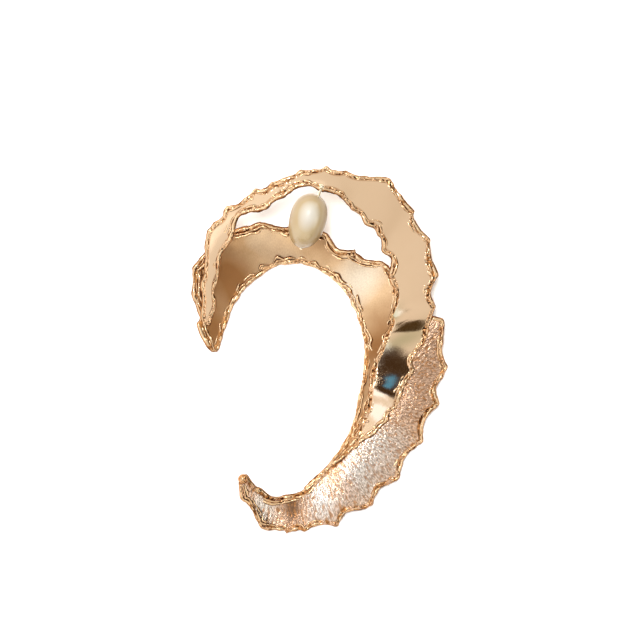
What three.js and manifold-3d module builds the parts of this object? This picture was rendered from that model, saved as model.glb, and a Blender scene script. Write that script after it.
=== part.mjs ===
// An ear cuff of three jagged metal sheets with melted rims, soldered into one crescent, and a pearl on a pin.
// Millimetres. The cuff lies on its back with its front up: +Y is up as worn, +Z points at whoever looks at it.

import * as THREE from "three";
import { mergeVertices } from "three/addons/utils/BufferGeometryUtils.js";
import Module from "manifold-3d";

// Overall sizes of the metal: width and height of the crescent, and the climb from its lowest rim to its highest.
const CUFF_WIDTH = 57.2;
const CUFF_HEIGHT = 81.8;
const CUFF_DEPTH = 11;

// The sheets and their melted rims. A tooth is the deepest dip between two points of a jagged edge.
const SHEET_THICKNESS = 0.8;
const RIM_DIAMETER = 1.3;
const TOOTH_DEPTH = 2.2;
const FOOT_FLAT = 0.15;

// The pearl, its pin and the room left between pieces that touch.
const PEARL_DIAMETER = 8.3;
const PEARL_LENGTH = 12.5;
const PIN_DIAMETER = 0.6;
const PIN_HEAD_DIAMETER = 1.2;
const PIN_KNOT_DIAMETER = 1;
const BORE_CLEARANCE = 0.2;
const SEAT_GAP = 0.3;

// How finely the curves are cut into flats.
const STATION_STEP = 1.35;
const RIM_FLATS = 6;
const PEARL_SIDES = 16;
const WIRE_SIDES = 10;
const WELD_TOLERANCE = 0.01;

// The middle that every section of the crescent fans out from, as shares of the width and height.
const HEART = { x: 0.385, y: 0.425 };

// Edge tables: a row for each point of an edge, in order round the crescent from its upper left end.
// x, y and z are shares of the width, height and depth. The dip that follows the point is a share of
// the tooth depth, and low says how far along to the next point it is deepest.
const COLLAR_INNER = [
  { x: 0.099, y: 0.503, z: 0.0 },
  { x: 0.115, y: 0.534, z: 0.01 },
  { x: 0.136, y: 0.587, z: 0.02 },
  { x: 0.171, y: 0.642, z: 0.03 },
  { x: 0.222, y: 0.686, z: 0.02 },
  { x: 0.271, y: 0.711, z: 0.0 },
  { x: 0.322, y: 0.734, z: 0.0 },
  { x: 0.385, y: 0.744, z: 0.01 },
  { x: 0.456, y: 0.739, z: 0.01 },
  { x: 0.508, y: 0.722, z: 0.01 },
  { x: 0.577, y: 0.685, z: 0.01 },
  { x: 0.627, y: 0.633, z: 0.0 },
  { x: 0.657, y: 0.581, z: 0.0 },
  { x: 0.678, y: 0.513, z: 0.0 },
  { x: 0.674, y: 0.457, z: 0.0 },
  { x: 0.658, y: 0.384, z: 0.01 },
  { x: 0.635, y: 0.316, z: 0.02 },
  { x: 0.602, y: 0.261, z: 0.04 },
  { x: 0.548, y: 0.207, z: 0.06 },
  { x: 0.488, y: 0.163, z: 0.06 },
  { x: 0.435, y: 0.128, z: 0.05 },
];

const COLLAR_OUTER = [
  { x: 0.084, y: 0.504, z: 0.02 },
  { x: 0.028, y: 0.577, z: 0.08, dip: 0.3 },
  { x: 0.032, y: 0.614, z: 0.12, dip: 0.1 },
  { x: 0.012, y: 0.651, z: 0.16, dip: 0.3 },
  { x: 0.014, y: 0.726, z: 0.24, dip: 0.1 },
  { x: 0.073, y: 0.78, z: 0.29 },
  { x: 0.123, y: 0.82, z: 0.32 },
  { x: 0.177, y: 0.828, z: 0.33, dip: 0.15, low: 0.7 },
  { x: 0.269, y: 0.849, z: 0.36, dip: 0.7 },
  { x: 0.431, y: 0.844, z: 0.355 },
  { x: 0.523, y: 0.819, z: 0.36, dip: 0.9 },
  { x: 0.635, y: 0.776, z: 0.4, dip: 0.7, low: 0.4 },
  { x: 0.742, y: 0.742, z: 0.43 },
  { x: 0.798, y: 0.667, z: 0.39 },
  { x: 0.792, y: 0.581, z: 0.28 },
  { x: 0.735, y: 0.484, z: 0.18 },
  { x: 0.704, y: 0.392, z: 0.16 },
  { x: 0.656, y: 0.301, z: 0.12 },
  { x: 0.598, y: 0.239, z: 0.09 },
  { x: 0.519, y: 0.172, z: 0.07 },
  { x: 0.446, y: 0.124, z: 0.05 },
];

const BAND_INNER = [
  { x: 0.071, y: 0.575, z: 0.11 },
  { x: 0.094, y: 0.624, z: 0.18, dip: 0.36 },
  { x: 0.107, y: 0.704, z: 0.38, dip: 0.55 },
  { x: 0.154, y: 0.798, z: 0.64 },
  { x: 0.185, y: 0.863, z: 0.78 },
  { x: 0.288, y: 0.886, z: 0.9, dip: 0.15 },
  { x: 0.362, y: 0.919, z: 0.96, dip: 0.55 },
  { x: 0.504, y: 0.934, z: 0.98 },
  { x: 0.567, y: 0.925, z: 0.95 },
  { x: 0.621, y: 0.884, z: 0.86, dip: 0.23 },
  { x: 0.677, y: 0.847, z: 0.78, dip: 0.16 },
  { x: 0.725, y: 0.815, z: 0.69, dip: 0.26 },
  { x: 0.742, y: 0.774, z: 0.6, dip: 0.85, low: 0.6 },
  { x: 0.767, y: 0.704, z: 0.49, dip: 0.58 },
  { x: 0.767, y: 0.594, z: 0.34, dip: 0.38 },
  { x: 0.75, y: 0.546, z: 0.28, dip: 0.15 },
  { x: 0.702, y: 0.462, z: 0.235 },
  { x: 0.692, y: 0.411, z: 0.22 },
  { x: 0.683, y: 0.363, z: 0.19 },
  { x: 0.646, y: 0.29, z: 0.15 },
  { x: 0.588, y: 0.226, z: 0.13 },
  { x: 0.544, y: 0.199, z: 0.125 },
];

const BAND_OUTER = [
  { x: 0.05, y: 0.577, z: 0.11 },
  { x: 0.046, y: 0.621, z: 0.18, dip: 0.2 },
  { x: 0.046, y: 0.691, z: 0.34, dip: 0.15 },
  { x: 0.058, y: 0.731, z: 0.44, dip: 0.1 },
  { x: 0.075, y: 0.825, z: 0.59, dip: 0.45, low: 0.7 },
  { x: 0.145, y: 0.888, z: 0.72, dip: 0.5, low: 0.45 },
  { x: 0.254, y: 0.935, z: 0.82, dip: 0.4 },
  { x: 0.319, y: 0.952, z: 0.86, dip: 0.15 },
  { x: 0.431, y: 0.984, z: 0.885, dip: 0.25, low: 0.6 },
  { x: 0.525, y: 0.995, z: 0.87, dip: 0.35, low: 0.4 },
  { x: 0.6, y: 0.983, z: 0.84, dip: 0.4, low: 0.4 },
  { x: 0.767, y: 0.962, z: 0.7, dip: 0.45 },
  { x: 0.858, y: 0.878, z: 0.58, dip: 0.55, low: 0.3 },
  { x: 0.92, y: 0.801, z: 0.51, dip: 0.45, low: 0.4 },
  { x: 0.949, y: 0.706, z: 0.41, dip: 0.85, low: 0.4 },
  { x: 0.942, y: 0.624, z: 0.29, dip: 0.3 },
  { x: 0.911, y: 0.543, z: 0.22, dip: 0.7, low: 0.6 },
  { x: 0.862, y: 0.454, z: 0.2, dip: 0.4 },
  { x: 0.794, y: 0.351, z: 0.195, dip: 0.3, low: 0.4 },
  { x: 0.756, y: 0.316, z: 0.19, dip: 0.1 },
  { x: 0.708, y: 0.281, z: 0.18, dip: 0.15 },
  { x: 0.642, y: 0.246, z: 0.155 },
  { x: 0.604, y: 0.226, z: 0.14 },
  { x: 0.55, y: 0.195, z: 0.125 },
];

const BLADE_INNER = [
  { x: 0.908, y: 0.583, z: 0.2 },
  { x: 0.838, y: 0.511, z: 0.185 },
  { x: 0.777, y: 0.43, z: 0.185 },
  { x: 0.7, y: 0.339, z: 0.165 },
  { x: 0.615, y: 0.247, z: 0.13 },
  { x: 0.55, y: 0.2, z: 0.09 },
  { x: 0.488, y: 0.157, z: 0.06 },
  { x: 0.423, y: 0.121, z: 0.05 },
  { x: 0.356, y: 0.11, z: 0.07, dip: 0.25 },
  { x: 0.275, y: 0.128, z: 0.2 },
  { x: 0.238, y: 0.145, z: 0.33 },
  { x: 0.215, y: 0.168, z: 0.46 },
];

const BLADE_OUTER = [
  { x: 0.938, y: 0.593, z: 0.2 },
  { x: 0.973, y: 0.585, z: 0.18, dip: 0.95 },
  { x: 0.988, y: 0.464, z: 0.02, dip: 0.7, low: 0.6 },
  { x: 0.955, y: 0.362, z: 0.055, dip: 0.8 },
  { x: 0.892, y: 0.261, z: 0.0, dip: 0.7, low: 0.55 },
  { x: 0.802, y: 0.163, z: 0.045, dip: 0.8, low: 0.65 },
  { x: 0.702, y: 0.089, z: 0.035, dip: 1, low: 0.67 },
  { x: 0.567, y: 0.032, z: 0.0, dip: 0.6, low: 0.55 },
  { x: 0.438, y: 0.016, z: 0.01, dip: 0.4 },
  { x: 0.369, y: 0.011, z: 0.02, dip: 0.4, low: 0.3 },
  { x: 0.275, y: 0.028, z: 0.11 },
  { x: 0.246, y: 0.067, z: 0.2 },
  { x: 0.223, y: 0.095, z: 0.29 },
  { x: 0.199, y: 0.108, z: 0.36 },
  { x: 0.193, y: 0.152, z: 0.46 },
];

// How far each sheet bulges towards the front between its rims, as a share of its width there.
// The place of a row is its share of the way along the sheet.
const COLLAR_BULGE = [
  { at: 0, bulge: 0 },
  { at: 0.25, bulge: -0.05 },
  { at: 0.5, bulge: -0.05 },
  { at: 0.62, bulge: 0 },
  { at: 0.75, bulge: 0.02 },
  { at: 1, bulge: 0 },
];

const BAND_BULGE = [
  { at: 0, bulge: 0.02 },
  { at: 0.2, bulge: 0.04 },
  { at: 0.45, bulge: 0.03 },
  { at: 0.6, bulge: 0.015 },
  { at: 0.75, bulge: 0.01 },
  { at: 1, bulge: 0.01 },
];

const BLADE_BULGE = [
  { at: 0, bulge: 0.03 },
  { at: 0.25, bulge: 0.06 },
  { at: 0.45, bulge: 0.03 },
  { at: 0.65, bulge: 0.08 },
  { at: 0.85, bulge: -0.06 },
  { at: 1, bulge: 0 },
];

// The three sheets. An inner edge dips away from the middle of the crescent, and an outer edge towards it.
const INNER_SIDE = 1;
const OUTER_SIDE = -1;
const collarSheet = {
  inner: makeEdge(COLLAR_INNER, INNER_SIDE),
  outer: makeEdge(COLLAR_OUTER, OUTER_SIDE),
  bulge: COLLAR_BULGE,
};
const polishedBand = {
  inner: makeEdge(BAND_INNER, INNER_SIDE),
  outer: makeEdge(BAND_OUTER, OUTER_SIDE),
  bulge: BAND_BULGE,
};
const texturedBlade = {
  inner: makeEdge(BLADE_INNER, INNER_SIDE),
  outer: makeEdge(BLADE_OUTER, OUTER_SIDE),
  bulge: BLADE_BULGE,
};

// Where the pearl lies on the collar's outer rim, and where its pin crosses the band's inner rim.
const PEARL_SEAT_TURN = THREE.MathUtils.degToRad(96);
const PEARL_TILT = THREE.MathUtils.degToRad(15.8);
const PEARL_LEAN = THREE.MathUtils.degToRad(9);
const PEARL_SEAT_SHARE = 0.08;
const PEARL_FULLNESS = 0.05;
const PEARL_BLUNTNESS = 2.3;
const PIN_TURN = THREE.MathUtils.degToRad(99.5);
const PIN_HEAD_RISE = 0.55;
const PIN_OFFSET_SHARE = 0.07;

const wasm = await Module();
wasm.setup();

// An edge as a smooth line round the heart: the turn of each row, and a curve of reach and height over it.
function makeEdge(rows, side) {
  const spots = rows.map((row) => {
    const dx = (row.x - HEART.x) * CUFF_WIDTH;
    const dy = (row.y - HEART.y) * CUFF_HEIGHT;
    return { turn: Math.PI - Math.atan2(dy, dx), reach: Math.hypot(dx, dy), height: row.z * CUFF_DEPTH };
  });
  const turns = spots.map((spot) => spot.turn);
  const values = spots.flatMap((spot) => [spot.reach, spot.height]);
  return { rows, side, turns, curve: new THREE.CubicInterpolant(turns, values, 2) };
}

// The middle of the rim at one turn, with the dip between the two rows on either side of it.
function edgePoint(edge, turn) {
  const [smoothReach, height] = edge.curve.evaluate(turn);
  const next = edge.turns.findIndex((value) => value > turn);
  let reach = smoothReach;
  if (next > 0) {
    const { dip = 0, low = 0.5 } = edge.rows[next - 1];
    const way = (turn - edge.turns[next - 1]) / (edge.turns[next] - edge.turns[next - 1]);
    const lean = Math.log(0.5) / Math.log(low);
    reach += edge.side * dip * TOOTH_DEPTH * Math.sin(Math.PI * way ** lean);
  }
  return new THREE.Vector3(
    (HEART.x - 0.5) * CUFF_WIDTH - reach * Math.cos(turn),
    (HEART.y - 0.5) * CUFF_HEIGHT + reach * Math.sin(turn),
    height,
  );
}

// The turns at which a sheet is cut into sections: every point of its outer edge, and even steps between them.
function sheetTurns(sheet) {
  const { turns } = sheet.outer;
  const stations = [turns[0]];
  for (let i = 1; i < turns.length; i++) {
    const span = edgePoint(sheet.outer, turns[i]).distanceTo(edgePoint(sheet.outer, turns[i - 1]));
    const steps = Math.max(1, Math.round(span / STATION_STEP));
    for (let step = 1; step <= steps; step++) {
      stations.push(THREE.MathUtils.lerp(turns[i - 1], turns[i], step / steps));
    }
  }
  return stations;
}

// The bulge at a share of the way along a sheet, read off its table.
function bulgeAt(rows, at) {
  const next = Math.max(1, rows.findIndex((row) => row.at >= at));
  const way = (at - rows[next - 1].at) / (rows[next].at - rows[next - 1].at);
  return THREE.MathUtils.lerp(rows[next - 1].bulge, rows[next].bulge, THREE.MathUtils.smoothstep(way, 0, 1));
}

// One closed section through a sheet: a round rim at each end and a thinner, bulging web between them.
function sheetSection(inner, outer, bulge) {
  const across = outer.clone().sub(inner);
  const width = across.length();
  across.normalize();
  const up = new THREE.Vector3(0, 0, 1);
  up.addScaledVector(across, -up.dot(across)).normalize();
  const radius = RIM_DIAMETER / 2;
  const points = [];
  const add = (base, along, above) => {
    points.push(base.clone().addScaledVector(across, along).addScaledVector(up, above));
  };
  const addRim = (centre, firstAngle) => {
    for (let flat = 1; flat < RIM_FLATS; flat++) {
      const angle = firstAngle + (flat * 2 * Math.PI) / RIM_FLATS;
      add(centre, radius * Math.cos(angle), radius * Math.sin(angle));
    }
  };
  const addWeb = (shares, side) => {
    for (const share of shares) {
      const along = THREE.MathUtils.lerp(radius / 2, width - radius / 2, share);
      const rise = bulge * width * Math.sin(Math.PI * share);
      add(inner, along, rise + (side * SHEET_THICKNESS) / 2);
    }
  };
  addRim(inner, 0);
  addWeb([0.25, 0.5, 0.75], -1);
  addRim(outer, Math.PI);
  addWeb([0.75, 0.5, 0.25], 1);
  return points;
}

// A sheet lofted through its sections, with a blunt point at each end and its lowest places worn flat.
function makeSheet(sheet) {
  const turns = sheetTurns(sheet);
  const floor = FOOT_FLAT - RIM_DIAMETER / 2;
  const sections = turns.map((turn, i) => {
    const bulge = bulgeAt(sheet.bulge, i / (turns.length - 1));
    return sheetSection(edgePoint(sheet.inner, turn), edgePoint(sheet.outer, turn), bulge);
  });
  const middle = (points) => {
    const sum = points.reduce((total, point) => total.add(point), new THREE.Vector3());
    return sum.divideScalar(points.length);
  };
  const tip = (end, before) => {
    const centre = middle(sections.at(end));
    const ahead = centre.clone().sub(middle(sections.at(before))).setLength(RIM_DIAMETER / 3);
    return centre.add(ahead);
  };
  const vertices = [...sections.flat(), tip(0, 1), tip(-1, -2)];
  const round = sections[0].length;
  const startTip = vertices.length - 2;
  const endTip = vertices.length - 1;
  const triangles = [];
  for (let i = 0; i < round; i++) {
    const next = (i + 1) % round;
    triangles.push(startTip, next, i);
    for (let row = 0; row < sections.length - 1; row++) {
      const here = row * round;
      const ahead = here + round;
      triangles.push(here + i, here + next, ahead + next);
      triangles.push(here + i, ahead + next, ahead + i);
    }
    const last = (sections.length - 1) * round;
    triangles.push(endTip, last + i, last + next);
  }
  const positions = vertices.flatMap((point) => [point.x, point.y, Math.max(point.z, floor)]);
  const geometry = new THREE.BufferGeometry();
  geometry.setAttribute("position", new THREE.Float32BufferAttribute(positions, 3));
  geometry.setIndex(triangles);
  return geometry;
}

// A closed geometry as a solid that can be joined or cut, and such a solid back as a geometry.
function toSolid(geometry) {
  const bare = geometry.clone();
  bare.deleteAttribute("normal");
  bare.deleteAttribute("uv");
  const merged = mergeVertices(bare, 1e-4);
  const mesh = new wasm.Mesh({
    numProp: 3,
    vertProperties: merged.attributes.position.array,
    triVerts: new Uint32Array(merged.index.array),
  });
  return new wasm.Manifold(mesh);
}

function toGeometry(solid) {
  const { vertProperties, triVerts } = solid.getMesh();
  const geometry = new THREE.BufferGeometry();
  geometry.setAttribute("position", new THREE.Float32BufferAttribute(vertProperties, 3));
  geometry.setIndex(new THREE.Uint32BufferAttribute(triVerts, 1));
  return geometry;
}

// The three sheets soldered where they lie on each other.
function makeCuffFrame() {
  const sheets = [collarSheet, polishedBand, texturedBlade].map((sheet) => toSolid(makeSheet(sheet)));
  const joined = sheets.reduce((whole, sheet) => whole.add(sheet)).simplify(WELD_TOLERANCE);
  const bodies = joined.decompose().sort((a, b) => b.volume() - a.volume());
  return toGeometry(bodies[0]);
}

// The pearl's place: its fullest part just clear of the collar's outer rim, tilted with its pin.
function pearlPlace() {
  const seat = edgePoint(collarSheet.outer, PEARL_SEAT_TURN);
  const axis = new THREE.Vector3(Math.sin(PEARL_TILT), Math.cos(PEARL_TILT), Math.tan(PEARL_LEAN)).normalize();
  const rise = RIM_DIAMETER / 2 + SEAT_GAP + PEARL_DIAMETER / 2 / Math.cos(PEARL_LEAN);
  const centre = seat.clone().add(new THREE.Vector3(0, 0, rise));
  centre.addScaledVector(axis, PEARL_SEAT_SHARE * PEARL_LENGTH);
  return { centre, axis };
}

// The pin's line: its head just in front of the band's inner rim, then straight through the pearl.
function pinLine() {
  const rim = edgePoint(polishedBand.inner, PIN_TURN);
  const front = RIM_DIAMETER / 2 + SEAT_GAP + PIN_DIAMETER / 2;
  const head = rim.clone().add(new THREE.Vector3(0, PIN_HEAD_RISE * RIM_DIAMETER, front));
  const through = pearlPlace().centre.add(new THREE.Vector3(PIN_OFFSET_SHARE * PEARL_DIAMETER, 0, 0));
  const direction = through.clone().sub(head).normalize();
  const reach = head.distanceTo(through) + PEARL_LENGTH / 2 + SEAT_GAP;
  return { head, direction, knot: head.clone().addScaledVector(direction, reach) };
}

// A geometry made along the Y axis, turned to point along a direction and moved to its place.
function alongLine(geometry, centre, direction) {
  const turn = new THREE.Quaternion().setFromUnitVectors(new THREE.Vector3(0, 1, 0), direction);
  return geometry.applyQuaternion(turn).translate(centre.x, centre.y, centre.z);
}

// An egg-shaped pearl, a little fuller towards its upper end, drilled through for the pin.
function makePearl() {
  const rings = PEARL_SIDES - 4;
  const profile = [];
  for (let ring = 0; ring <= rings; ring++) {
    const share = -Math.cos((Math.PI * ring) / rings);
    const round = Math.sqrt(Math.max(0, 1 - Math.abs(share) ** PEARL_BLUNTNESS));
    const radius = (PEARL_DIAMETER / 2) * round * (1 + PEARL_FULLNESS * share);
    profile.push(new THREE.Vector2(radius, (share * PEARL_LENGTH) / 2));
  }
  const fullest = Math.max(...profile.map((point) => point.x)) / (PEARL_DIAMETER / 2);
  profile.forEach((point) => point.setX(point.x / fullest));
  const { centre, axis } = pearlPlace();
  const whole = toSolid(alongLine(new THREE.LatheGeometry(profile, PEARL_SIDES), centre, axis));
  const radius = PIN_DIAMETER / 2 + BORE_CLEARANCE;
  const bore = new THREE.CylinderGeometry(radius, radius, PEARL_LENGTH * 2, WIRE_SIDES);
  return toGeometry(whole.subtract(toSolid(alongLine(bore, centreOnPin(centre), pinLine().direction))));
}

// The point of the pin's line nearest to a place.
function centreOnPin(place) {
  const { head, direction } = pinLine();
  const along = place.clone().sub(head).dot(direction);
  return head.addScaledVector(direction, along);
}

// The headed pin: a ball on the band's face, a straight wire and a small knot under the pearl.
function makePin() {
  const { head, direction, knot } = pinLine();
  const radius = PIN_DIAMETER / 2;
  const wire = new THREE.CylinderGeometry(radius, radius, head.distanceTo(knot), WIRE_SIDES);
  const ball = (diameter, place) => {
    const sphere = new THREE.SphereGeometry(diameter / 2, WIRE_SIDES, WIRE_SIDES - 2);
    return toSolid(sphere.translate(place.x, place.y, place.z));
  };
  const middle = head.clone().lerp(knot, 0.5);
  const joined = toSolid(alongLine(wire, middle, direction))
    .add(ball(PIN_HEAD_DIAMETER, head))
    .add(ball(PIN_KNOT_DIAMETER, knot));
  return toGeometry(joined);
}

function addPiece(group, name, geometry, colour, metalness, roughness) {
  const material = new THREE.MeshStandardMaterial({ color: colour, metalness, roughness, flatShading: true });
  const mesh = new THREE.Mesh(geometry, material);
  mesh.name = name;
  group.add(mesh);
}

const earCuff = new THREE.Group();
addPiece(earCuff, "cuff_frame", makeCuffFrame(), "#d6a57c", 1, 0.3);
addPiece(earCuff, "pearl", makePearl(), "#e6dcc6", 0, 0.25);
addPiece(earCuff, "pearl_pin", makePin(), "#e2cba4", 1, 0.3);

// The origin is under the middle of the cuff, on the surface that it lies on.
const extent = new THREE.Box3().setFromObject(earCuff);
const middle = extent.getCenter(new THREE.Vector3());
earCuff.position.set(-middle.x, -middle.y, -extent.min.z);

export default earCuff;
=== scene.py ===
"""An ear cuff of three jagged gold sheets with melted rims, and a cream pearl on a headed pin.

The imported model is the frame. Its soldered metal is shown here as six finer pieces, a sheet and a rim for
each of the collar, the band and the blade. The pearl and its pin are shown as finer pieces of their own.
All lengths are in metres.
"""

import itertools
import math

import bpy
import numpy as np
from bpy.props import FloatProperty, FloatVectorProperty, IntProperty, PointerProperty
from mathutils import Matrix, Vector


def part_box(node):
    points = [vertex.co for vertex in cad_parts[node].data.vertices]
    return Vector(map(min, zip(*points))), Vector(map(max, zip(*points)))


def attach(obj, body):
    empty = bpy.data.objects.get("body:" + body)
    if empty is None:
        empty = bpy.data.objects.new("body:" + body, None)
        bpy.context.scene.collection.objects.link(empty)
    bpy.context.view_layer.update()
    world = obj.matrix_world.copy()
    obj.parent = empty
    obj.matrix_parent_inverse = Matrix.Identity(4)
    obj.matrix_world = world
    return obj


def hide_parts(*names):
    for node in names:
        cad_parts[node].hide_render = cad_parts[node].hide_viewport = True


bl_info = {
    "name": "Jagged Ear Cuff",
    "version": (1, 0, 0),
    "blender": (4, 5, 0),
    "location": "3D View > Sidebar > Ear Cuff",
    "description": "Builds the finished surfaces of a jagged gold ear cuff with a pearl",
    "category": "Add Mesh",
}

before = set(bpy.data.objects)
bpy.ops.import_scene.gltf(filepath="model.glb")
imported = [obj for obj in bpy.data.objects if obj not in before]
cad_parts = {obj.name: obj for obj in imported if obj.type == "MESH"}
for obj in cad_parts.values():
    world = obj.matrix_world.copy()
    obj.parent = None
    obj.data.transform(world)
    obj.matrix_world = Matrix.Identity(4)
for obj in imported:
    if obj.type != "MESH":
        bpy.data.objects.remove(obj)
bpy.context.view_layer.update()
CUFF_LOW, CUFF_HIGH = (np.array(corner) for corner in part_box("cuff_frame"))
BODY = "root"
MM = 0.001

# The middle that every section of the crescent fans out from, as shares of the width and height.
HEART = (0.385, 0.425)

# Edge tables: a row for each point of an edge, in order round the crescent from its upper left end. The
# columns are x, y and z as shares of the width, height and depth, then the dip that follows the point as a
# share of the tooth depth, and how far along to the next point it is deepest.
COLLAR_INNER = (
    (0.099, 0.503, 0.0, 0, 0.5),
    (0.115, 0.534, 0.01, 0, 0.5),
    (0.136, 0.587, 0.02, 0, 0.5),
    (0.171, 0.642, 0.03, 0, 0.5),
    (0.222, 0.686, 0.02, 0, 0.5),
    (0.271, 0.711, 0.0, 0, 0.5),
    (0.322, 0.734, 0.0, 0, 0.5),
    (0.385, 0.744, 0.01, 0, 0.5),
    (0.456, 0.739, 0.01, 0, 0.5),
    (0.508, 0.722, 0.01, 0, 0.5),
    (0.577, 0.685, 0.01, 0, 0.5),
    (0.627, 0.633, 0.0, 0, 0.5),
    (0.657, 0.581, 0.0, 0, 0.5),
    (0.678, 0.513, 0.0, 0, 0.5),
    (0.674, 0.457, 0.0, 0, 0.5),
    (0.658, 0.384, 0.01, 0, 0.5),
    (0.635, 0.316, 0.02, 0, 0.5),
    (0.602, 0.261, 0.04, 0, 0.5),
    (0.548, 0.207, 0.06, 0, 0.5),
    (0.488, 0.163, 0.06, 0, 0.5),
    (0.435, 0.128, 0.05, 0, 0.5),
)
COLLAR_OUTER = (
    (0.084, 0.504, 0.02, 0, 0.5),
    (0.028, 0.577, 0.08, 0.3, 0.5),
    (0.032, 0.614, 0.12, 0.1, 0.5),
    (0.012, 0.651, 0.16, 0.3, 0.5),
    (0.014, 0.726, 0.24, 0.1, 0.5),
    (0.073, 0.78, 0.29, 0, 0.5),
    (0.123, 0.82, 0.32, 0, 0.5),
    (0.177, 0.828, 0.33, 0.15, 0.7),
    (0.269, 0.849, 0.36, 0.7, 0.5),
    (0.431, 0.844, 0.355, 0, 0.5),
    (0.523, 0.819, 0.36, 0.9, 0.5),
    (0.635, 0.776, 0.4, 0.7, 0.4),
    (0.742, 0.742, 0.43, 0, 0.5),
    (0.798, 0.667, 0.39, 0, 0.5),
    (0.792, 0.581, 0.28, 0, 0.5),
    (0.735, 0.484, 0.18, 0, 0.5),
    (0.704, 0.392, 0.16, 0, 0.5),
    (0.656, 0.301, 0.12, 0, 0.5),
    (0.598, 0.239, 0.09, 0, 0.5),
    (0.519, 0.172, 0.07, 0, 0.5),
    (0.446, 0.124, 0.05, 0, 0.5),
)
BAND_INNER = (
    (0.071, 0.575, 0.11, 0, 0.5),
    (0.094, 0.624, 0.18, 0.36, 0.5),
    (0.107, 0.704, 0.38, 0.55, 0.5),
    (0.154, 0.798, 0.64, 0, 0.5),
    (0.185, 0.863, 0.78, 0, 0.5),
    (0.288, 0.886, 0.9, 0.15, 0.5),
    (0.362, 0.919, 0.96, 0.55, 0.5),
    (0.504, 0.934, 0.98, 0, 0.5),
    (0.567, 0.925, 0.95, 0, 0.5),
    (0.621, 0.884, 0.86, 0.23, 0.5),
    (0.677, 0.847, 0.78, 0.16, 0.5),
    (0.725, 0.815, 0.69, 0.26, 0.5),
    (0.742, 0.774, 0.6, 0.85, 0.6),
    (0.767, 0.704, 0.49, 0.58, 0.5),
    (0.767, 0.594, 0.34, 0.38, 0.5),
    (0.75, 0.546, 0.28, 0.15, 0.5),
    (0.702, 0.462, 0.235, 0, 0.5),
    (0.692, 0.411, 0.22, 0, 0.5),
    (0.683, 0.363, 0.19, 0, 0.5),
    (0.646, 0.29, 0.15, 0, 0.5),
    (0.588, 0.226, 0.13, 0, 0.5),
    (0.544, 0.199, 0.125, 0, 0.5),
)
BAND_OUTER = (
    (0.05, 0.577, 0.11, 0, 0.5),
    (0.046, 0.621, 0.18, 0.2, 0.5),
    (0.046, 0.691, 0.34, 0.15, 0.5),
    (0.058, 0.731, 0.44, 0.1, 0.5),
    (0.075, 0.825, 0.59, 0.45, 0.7),
    (0.145, 0.888, 0.72, 0.5, 0.45),
    (0.254, 0.935, 0.82, 0.4, 0.5),
    (0.319, 0.952, 0.86, 0.15, 0.5),
    (0.431, 0.984, 0.885, 0.25, 0.6),
    (0.525, 0.995, 0.87, 0.35, 0.4),
    (0.6, 0.983, 0.84, 0.4, 0.4),
    (0.767, 0.962, 0.7, 0.45, 0.5),
    (0.858, 0.878, 0.58, 0.55, 0.3),
    (0.92, 0.801, 0.51, 0.45, 0.4),
    (0.949, 0.706, 0.41, 0.85, 0.4),
    (0.942, 0.624, 0.29, 0.3, 0.5),
    (0.911, 0.543, 0.22, 0.7, 0.6),
    (0.862, 0.454, 0.2, 0.4, 0.5),
    (0.794, 0.351, 0.195, 0.3, 0.4),
    (0.756, 0.316, 0.19, 0.1, 0.5),
    (0.708, 0.281, 0.18, 0.15, 0.5),
    (0.642, 0.246, 0.155, 0, 0.5),
    (0.604, 0.226, 0.14, 0, 0.5),
    (0.55, 0.195, 0.125, 0, 0.5),
)
BLADE_INNER = (
    (0.908, 0.583, 0.2, 0, 0.5),
    (0.838, 0.511, 0.185, 0, 0.5),
    (0.777, 0.43, 0.185, 0, 0.5),
    (0.7, 0.339, 0.165, 0, 0.5),
    (0.615, 0.247, 0.13, 0, 0.5),
    (0.55, 0.2, 0.09, 0, 0.5),
    (0.488, 0.157, 0.06, 0, 0.5),
    (0.423, 0.121, 0.05, 0, 0.5),
    (0.356, 0.11, 0.07, 0.25, 0.5),
    (0.275, 0.128, 0.2, 0, 0.5),
    (0.238, 0.145, 0.33, 0, 0.5),
    (0.215, 0.168, 0.46, 0, 0.5),
)
BLADE_OUTER = (
    (0.938, 0.593, 0.2, 0, 0.5),
    (0.973, 0.585, 0.18, 0.95, 0.5),
    (0.988, 0.464, 0.02, 0.7, 0.6),
    (0.955, 0.362, 0.055, 0.8, 0.5),
    (0.892, 0.261, 0.0, 0.7, 0.55),
    (0.802, 0.163, 0.045, 0.8, 0.65),
    (0.702, 0.089, 0.035, 1, 0.67),
    (0.567, 0.032, 0.0, 0.6, 0.55),
    (0.438, 0.016, 0.01, 0.4, 0.5),
    (0.369, 0.011, 0.02, 0.4, 0.3),
    (0.275, 0.028, 0.11, 0, 0.5),
    (0.246, 0.067, 0.2, 0, 0.5),
    (0.223, 0.095, 0.29, 0, 0.5),
    (0.199, 0.108, 0.36, 0, 0.5),
    (0.193, 0.152, 0.46, 0, 0.5),
)

# How far each sheet bulges towards the front between its rims: the share of the way along the sheet, and the
# bulge there as a share of its width.
COLLAR_BULGE = ((0, 0), (0.25, -0.05), (0.5, -0.05), (0.62, 0), (0.75, 0.02), (1, 0))
BAND_BULGE = ((0, 0.02), (0.2, 0.04), (0.45, 0.03), (0.6, 0.015), (0.75, 0.01), (1, 0.01))
BLADE_BULGE = ((0, 0.03), (0.25, 0.06), (0.45, 0.03), (0.65, 0.08), (0.85, -0.06), (1, 0))

# Shallow ridges in the band's mirror: way along, share across, their reaches, the lean of the ridge's line
# across the band, and the rise at the middle in millimetres.
BAND_RIDGES = (
    (0.07, -0.4, 0.07, 1.2, 0, 0.45),
    (0.576, 0.82, 0.02, 1.1, 0.023, 0.4),
    (0.735, 0.5, 0.04, 1.2, 0, 0.3),
)

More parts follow.
